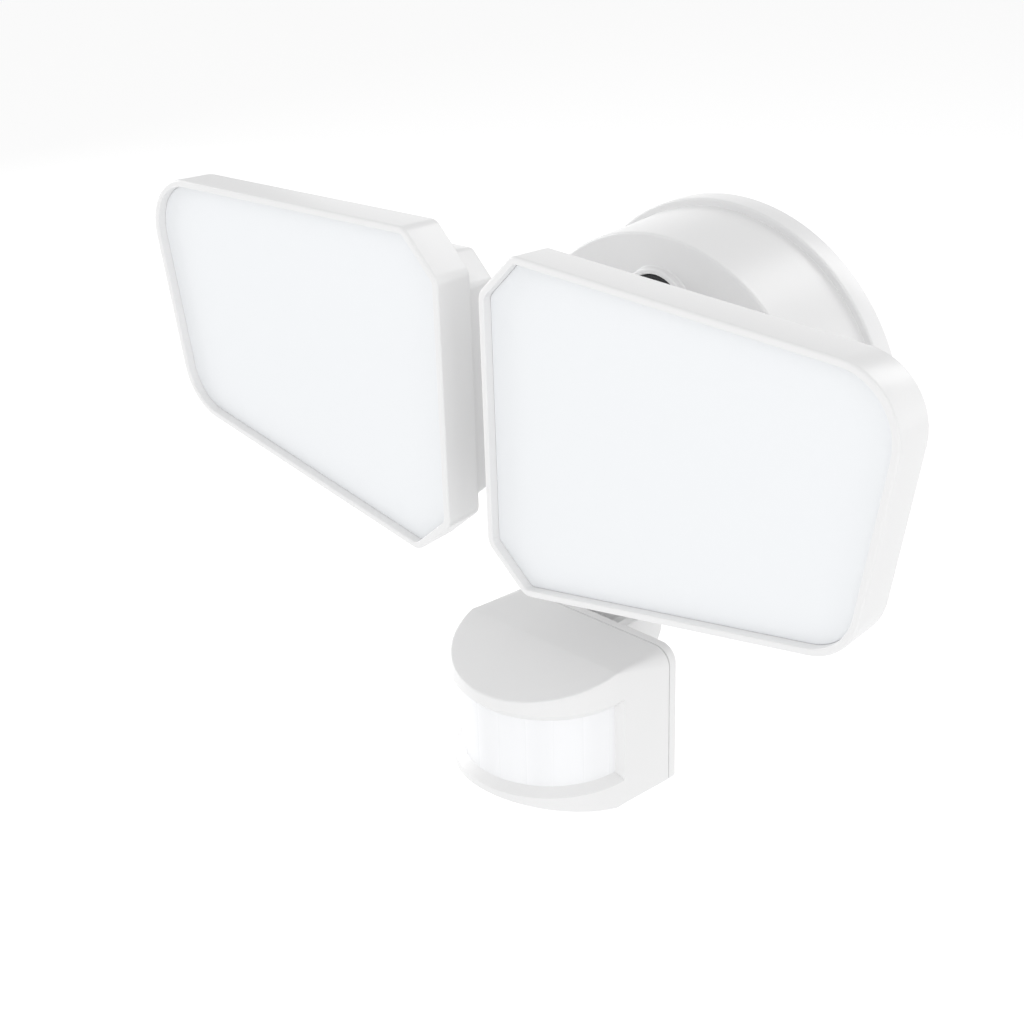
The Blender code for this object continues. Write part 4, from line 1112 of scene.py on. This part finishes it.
def stemGrids(s, c):
    # A round stem, lapped flat above and below past its collar, and the eye at its end.
    start = -(c["depth"] - c["wall"]) + c["stemInside"]
    z = c["collarZ"]["sensor"]
    bottom = z - s["hubHeight"] / 2
    turn = np.linspace(0, 2 * math.pi, 96, endpoint=False)
    full = np.stack([c["stem"] * np.cos(turn), c["stem"] * np.sin(turn)], 1)
    lapped = np.stack(
        [
            full[:, 0],
            np.clip(full[:, 1], -s["hubHeight"] / 2 + 0.3 * mm, s["hubHeight"] / 2 - 0.3 * mm),
        ],
        1,
    )
    lap = -c["depth"] - c["collarHigh"] - 0.6 * mm
    rings = [(full, start), (full, lap), (lapped, lap - 0.3 * mm), (lapped, s["hubY"])]
    body = np.array(
        [np.stack([loop[:, 0], np.full(96, y), loop[:, 1] + z], 1) for loop, y in rings]
    )
    return [
        capped(body),
        roller((0, s["hubY"], bottom), (0, 0, 1), s["hubRadius"], s["hubHeight"], 1.2 * mm),
    ]


def swivelGrids(s, c):
    # The pan disc, the neck with radius neckRadius + (lugNeck - neckRadius) * smooth(share), the lug.
    top = c["collarZ"]["sensor"] - s["hubHeight"] / 2 - gap
    start = np.array((s["hubY"], top - s["discHeight"] / 2))
    end = np.array((s["tiltY"], s["tiltZ"]))
    share = np.linspace(0, 1, 13)
    centre = start + (end - start) * share[:, None]
    radius = s["neckRadius"] + (s["lugNeck"] - s["neckRadius"]) * smooth(share)
    turn = np.linspace(0, 2 * math.pi, 64, endpoint=False)
    along = (end - start) / np.linalg.norm(end - start)
    x = radius[:, None] * np.cos(turn)
    y = centre[:, 0, None] + radius[:, None] * np.sin(turn) * -along[1]
    z = centre[:, 1, None] + radius[:, None] * np.sin(turn) * along[0]
    lug = roller(
        (-s["lugWidth"] / 2, s["tiltY"], s["tiltZ"]),
        (1, 0, 0),
        s["lugRadius"] - 0.4 * mm,
        s["lugWidth"],
        0.6 * mm,
    )
    disc = roller((0, s["hubY"], top), (0, 0, -1), s["hubRadius"], s["discHeight"], 1.2 * mm)
    return [disc, capped(np.stack([x, y, z], 2)), lug]


placed(
    surface("sensorStemEye", stemGrids(jointSizes, canopySizes)),
    "base",
    whiteEnamel,
    ["sensor_stem"],
)
placed(
    surface("sensorSwivel", swivelGrids(jointSizes, canopySizes)),
    "sensor_arm",
    whiteEnamel,
    ["sensor_arm"],
)
hubTop = canopySizes["collarZ"]["sensor"] + jointSizes["hubHeight"] / 2 + gap
headScrew(
    "sensor_pan_pin", (0, jointSizes["hubY"], hubTop), (0, 0, 1), jointSizes["pinLength"], "base",
    pinSizes,
)
cheekSeat = jointSizes["lugWidth"] / 2 + 2 * gap + jointSizes["cheek"]
headScrew(
    "sensor_tilt_pin",
    (-cheekSeat, jointSizes["tiltY"], jointSizes["tiltZ"]),
    (-1, 0, 0),
    2 * cheekSeat - jointSizes["pinSkin"],
    "sensor",
    tiltPinSizes,
)
for number, side in enumerate((-1, 1), 1):
    back = jointSizes["plateBack"] + gap
    at = (side * jointSizes["screwX"], back, sensorPlan["midZ"] - jointSizes["screwDrop"])
    headScrew(f"sensor_screw_{number}", at, (0, 1, 0), jointSizes["screwLength"], "sensor")
for node, side in (("time_dial", -1), ("range_dial", 1)):
    low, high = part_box(node)
    down = (0, 0, -1)
    at = (side * dialSizes["x"], dialSizes["y"], high.z)
    tall = high.z - low.z
    radius = dialSizes["radius"]
    line = roundedLine([(0, 0), (radius, 0), (radius, tall - 0.01 * mm)], [0, 0.3 * mm, 0], 4)
    edge = turned([(radius - 0.3 * mm, tall)], at, down, 96)
    floorZ = tall - dialSizes["slotDeep"]
    steps = [(1.1, tall), (1.0, tall - 0.1 * mm), (0.9, floorZ), (0, floorZ)]
    recess = slotRecess(dialSizes["slotWidth"], dialSizes["slotLength"])
    rings = [turned(line, at, down, 96), edge, recessRings(at, down, recess, steps)]
    placed(
        surface(node.replace("_dial", "Dial"), [np.concatenate(rings)]),
        node,
        whitePlastic,
        [node],
    )
print("motion sensor done")


roomSizes = {
    "floorZ": -0.30,
    "floorHalf": 9.0,
    "floorTone": (0.48, 0.48, 0.48),
    "floorGlow": 0.6,  # the lit white sweep under the object
    "ambient": 0.68,
    "cameraAt": (0.31379, -0.41293, 0.203),
    "cameraTurn": math.radians(45.070),  # away from +Y, towards -X
    "cameraFall": math.radians(25.411),  # below level
    "cameraRoll": math.radians(-1.903),
    "lens": 62.504,
}
floorMesh = bpy.data.meshes.new("floor")
half = roomSizes["floorHalf"]
floorCorners = [
    (x * half, y * half, roomSizes["floorZ"]) for x, y in ((-1, -1), (1, -1), (1, 1), (-1, 1))
]
floorMesh.from_pydata(floorCorners, [], [(0, 1, 2, 3)])
floor = bpy.data.objects.new("floor", floorMesh)
bpy.context.scene.collection.objects.link(floor)
floorFinish = Finish("paleFloor")
floorTone = roomSizes["floorTone"]
floorMesh.materials.append(floorFinish.finish(
    Base_Color=floorFinish.blend(floorFinish.noise(3.0), floorTone, shaded(floorTone, 0.995)),
    Roughness=0.9,
    Emission_Color=(1.0, 1.0, 1.0),
    Emission_Strength=roomSizes["floorGlow"],
))

world = bpy.data.worlds.new("studio")
bpy.context.scene.world = world
world.use_nodes = True
background = world.node_tree.nodes["Background"]
background.inputs["Color"].default_value = (1, 1, 1, 1)
background.inputs["Strength"].default_value = roomSizes["ambient"]


def softLight(name, at, towards, size, power):
    # A rectangular lamp whose -Z axis runs along towards - at.
    data = bpy.data.lights.new(name, "AREA")
    data.shape = "RECTANGLE"
    data.size, data.size_y = size
    data.energy = power
    lamp = bpy.data.objects.new(name, data)
    lamp.location = at
    aim = (np.array(towards) - np.array(at)).tolist()
    lamp.rotation_euler = Vector(aim).to_track_quat("-Z", "Y").to_euler()
    bpy.context.scene.collection.objects.link(lamp)
    return lamp


panels = {
    # direction from the object, distance, width and height, power
    "frontRight": ((0.44, -0.56, 0.71), 1.4, (0.9, 0.9), 2.3),
    "backTop": ((0.20, 0.77, 0.60), 1.4, (0.45, 0.8), 3.6),
    "backRight": ((0.62, 0.76, 0.20), 1.5, (0.9, 0.9), 2.5),
    "backLeft": ((-0.60, 0.78, 0.20), 1.5, (0.9, 0.9), 1.4),
    "left": ((-0.97, -0.10, 0.20), 1.4, (0.9, 0.9), 9.0),
    "front": ((0.30, -0.92, 0.25), 1.4, (0.9, 0.9), 3.3),
    "right": ((0.95, -0.20, 0.22), 1.4, (0.5, 1.0), 1.8),
}
lampTarget = (0, -0.06, -0.02)
for name, (way, far, size, power) in panels.items():
    at = np.array(way) / np.linalg.norm(way) * far + lampTarget
    softLight(name, tuple(at), lampTarget, size, power)

view = bpy.data.cameras.new("camera")
view.lens = roomSizes["lens"]
view.sensor_width = 36.0
view.clip_start = 0.01
view.clip_end = 60.0
camera = bpy.data.objects.new("camera", view)
camera.matrix_world = (
    Matrix.Translation(roomSizes["cameraAt"])
    @ Matrix.Rotation(roomSizes["cameraTurn"], 4, "Z")
    @ Matrix.Rotation(math.pi / 2 - roomSizes["cameraFall"], 4, "X")
    @ Matrix.Rotation(roomSizes["cameraRoll"], 4, "Z")
)
bpy.context.scene.collection.objects.link(camera)
bpy.context.scene.camera = camera
bpy.context.scene.view_settings.view_transform = "Standard"
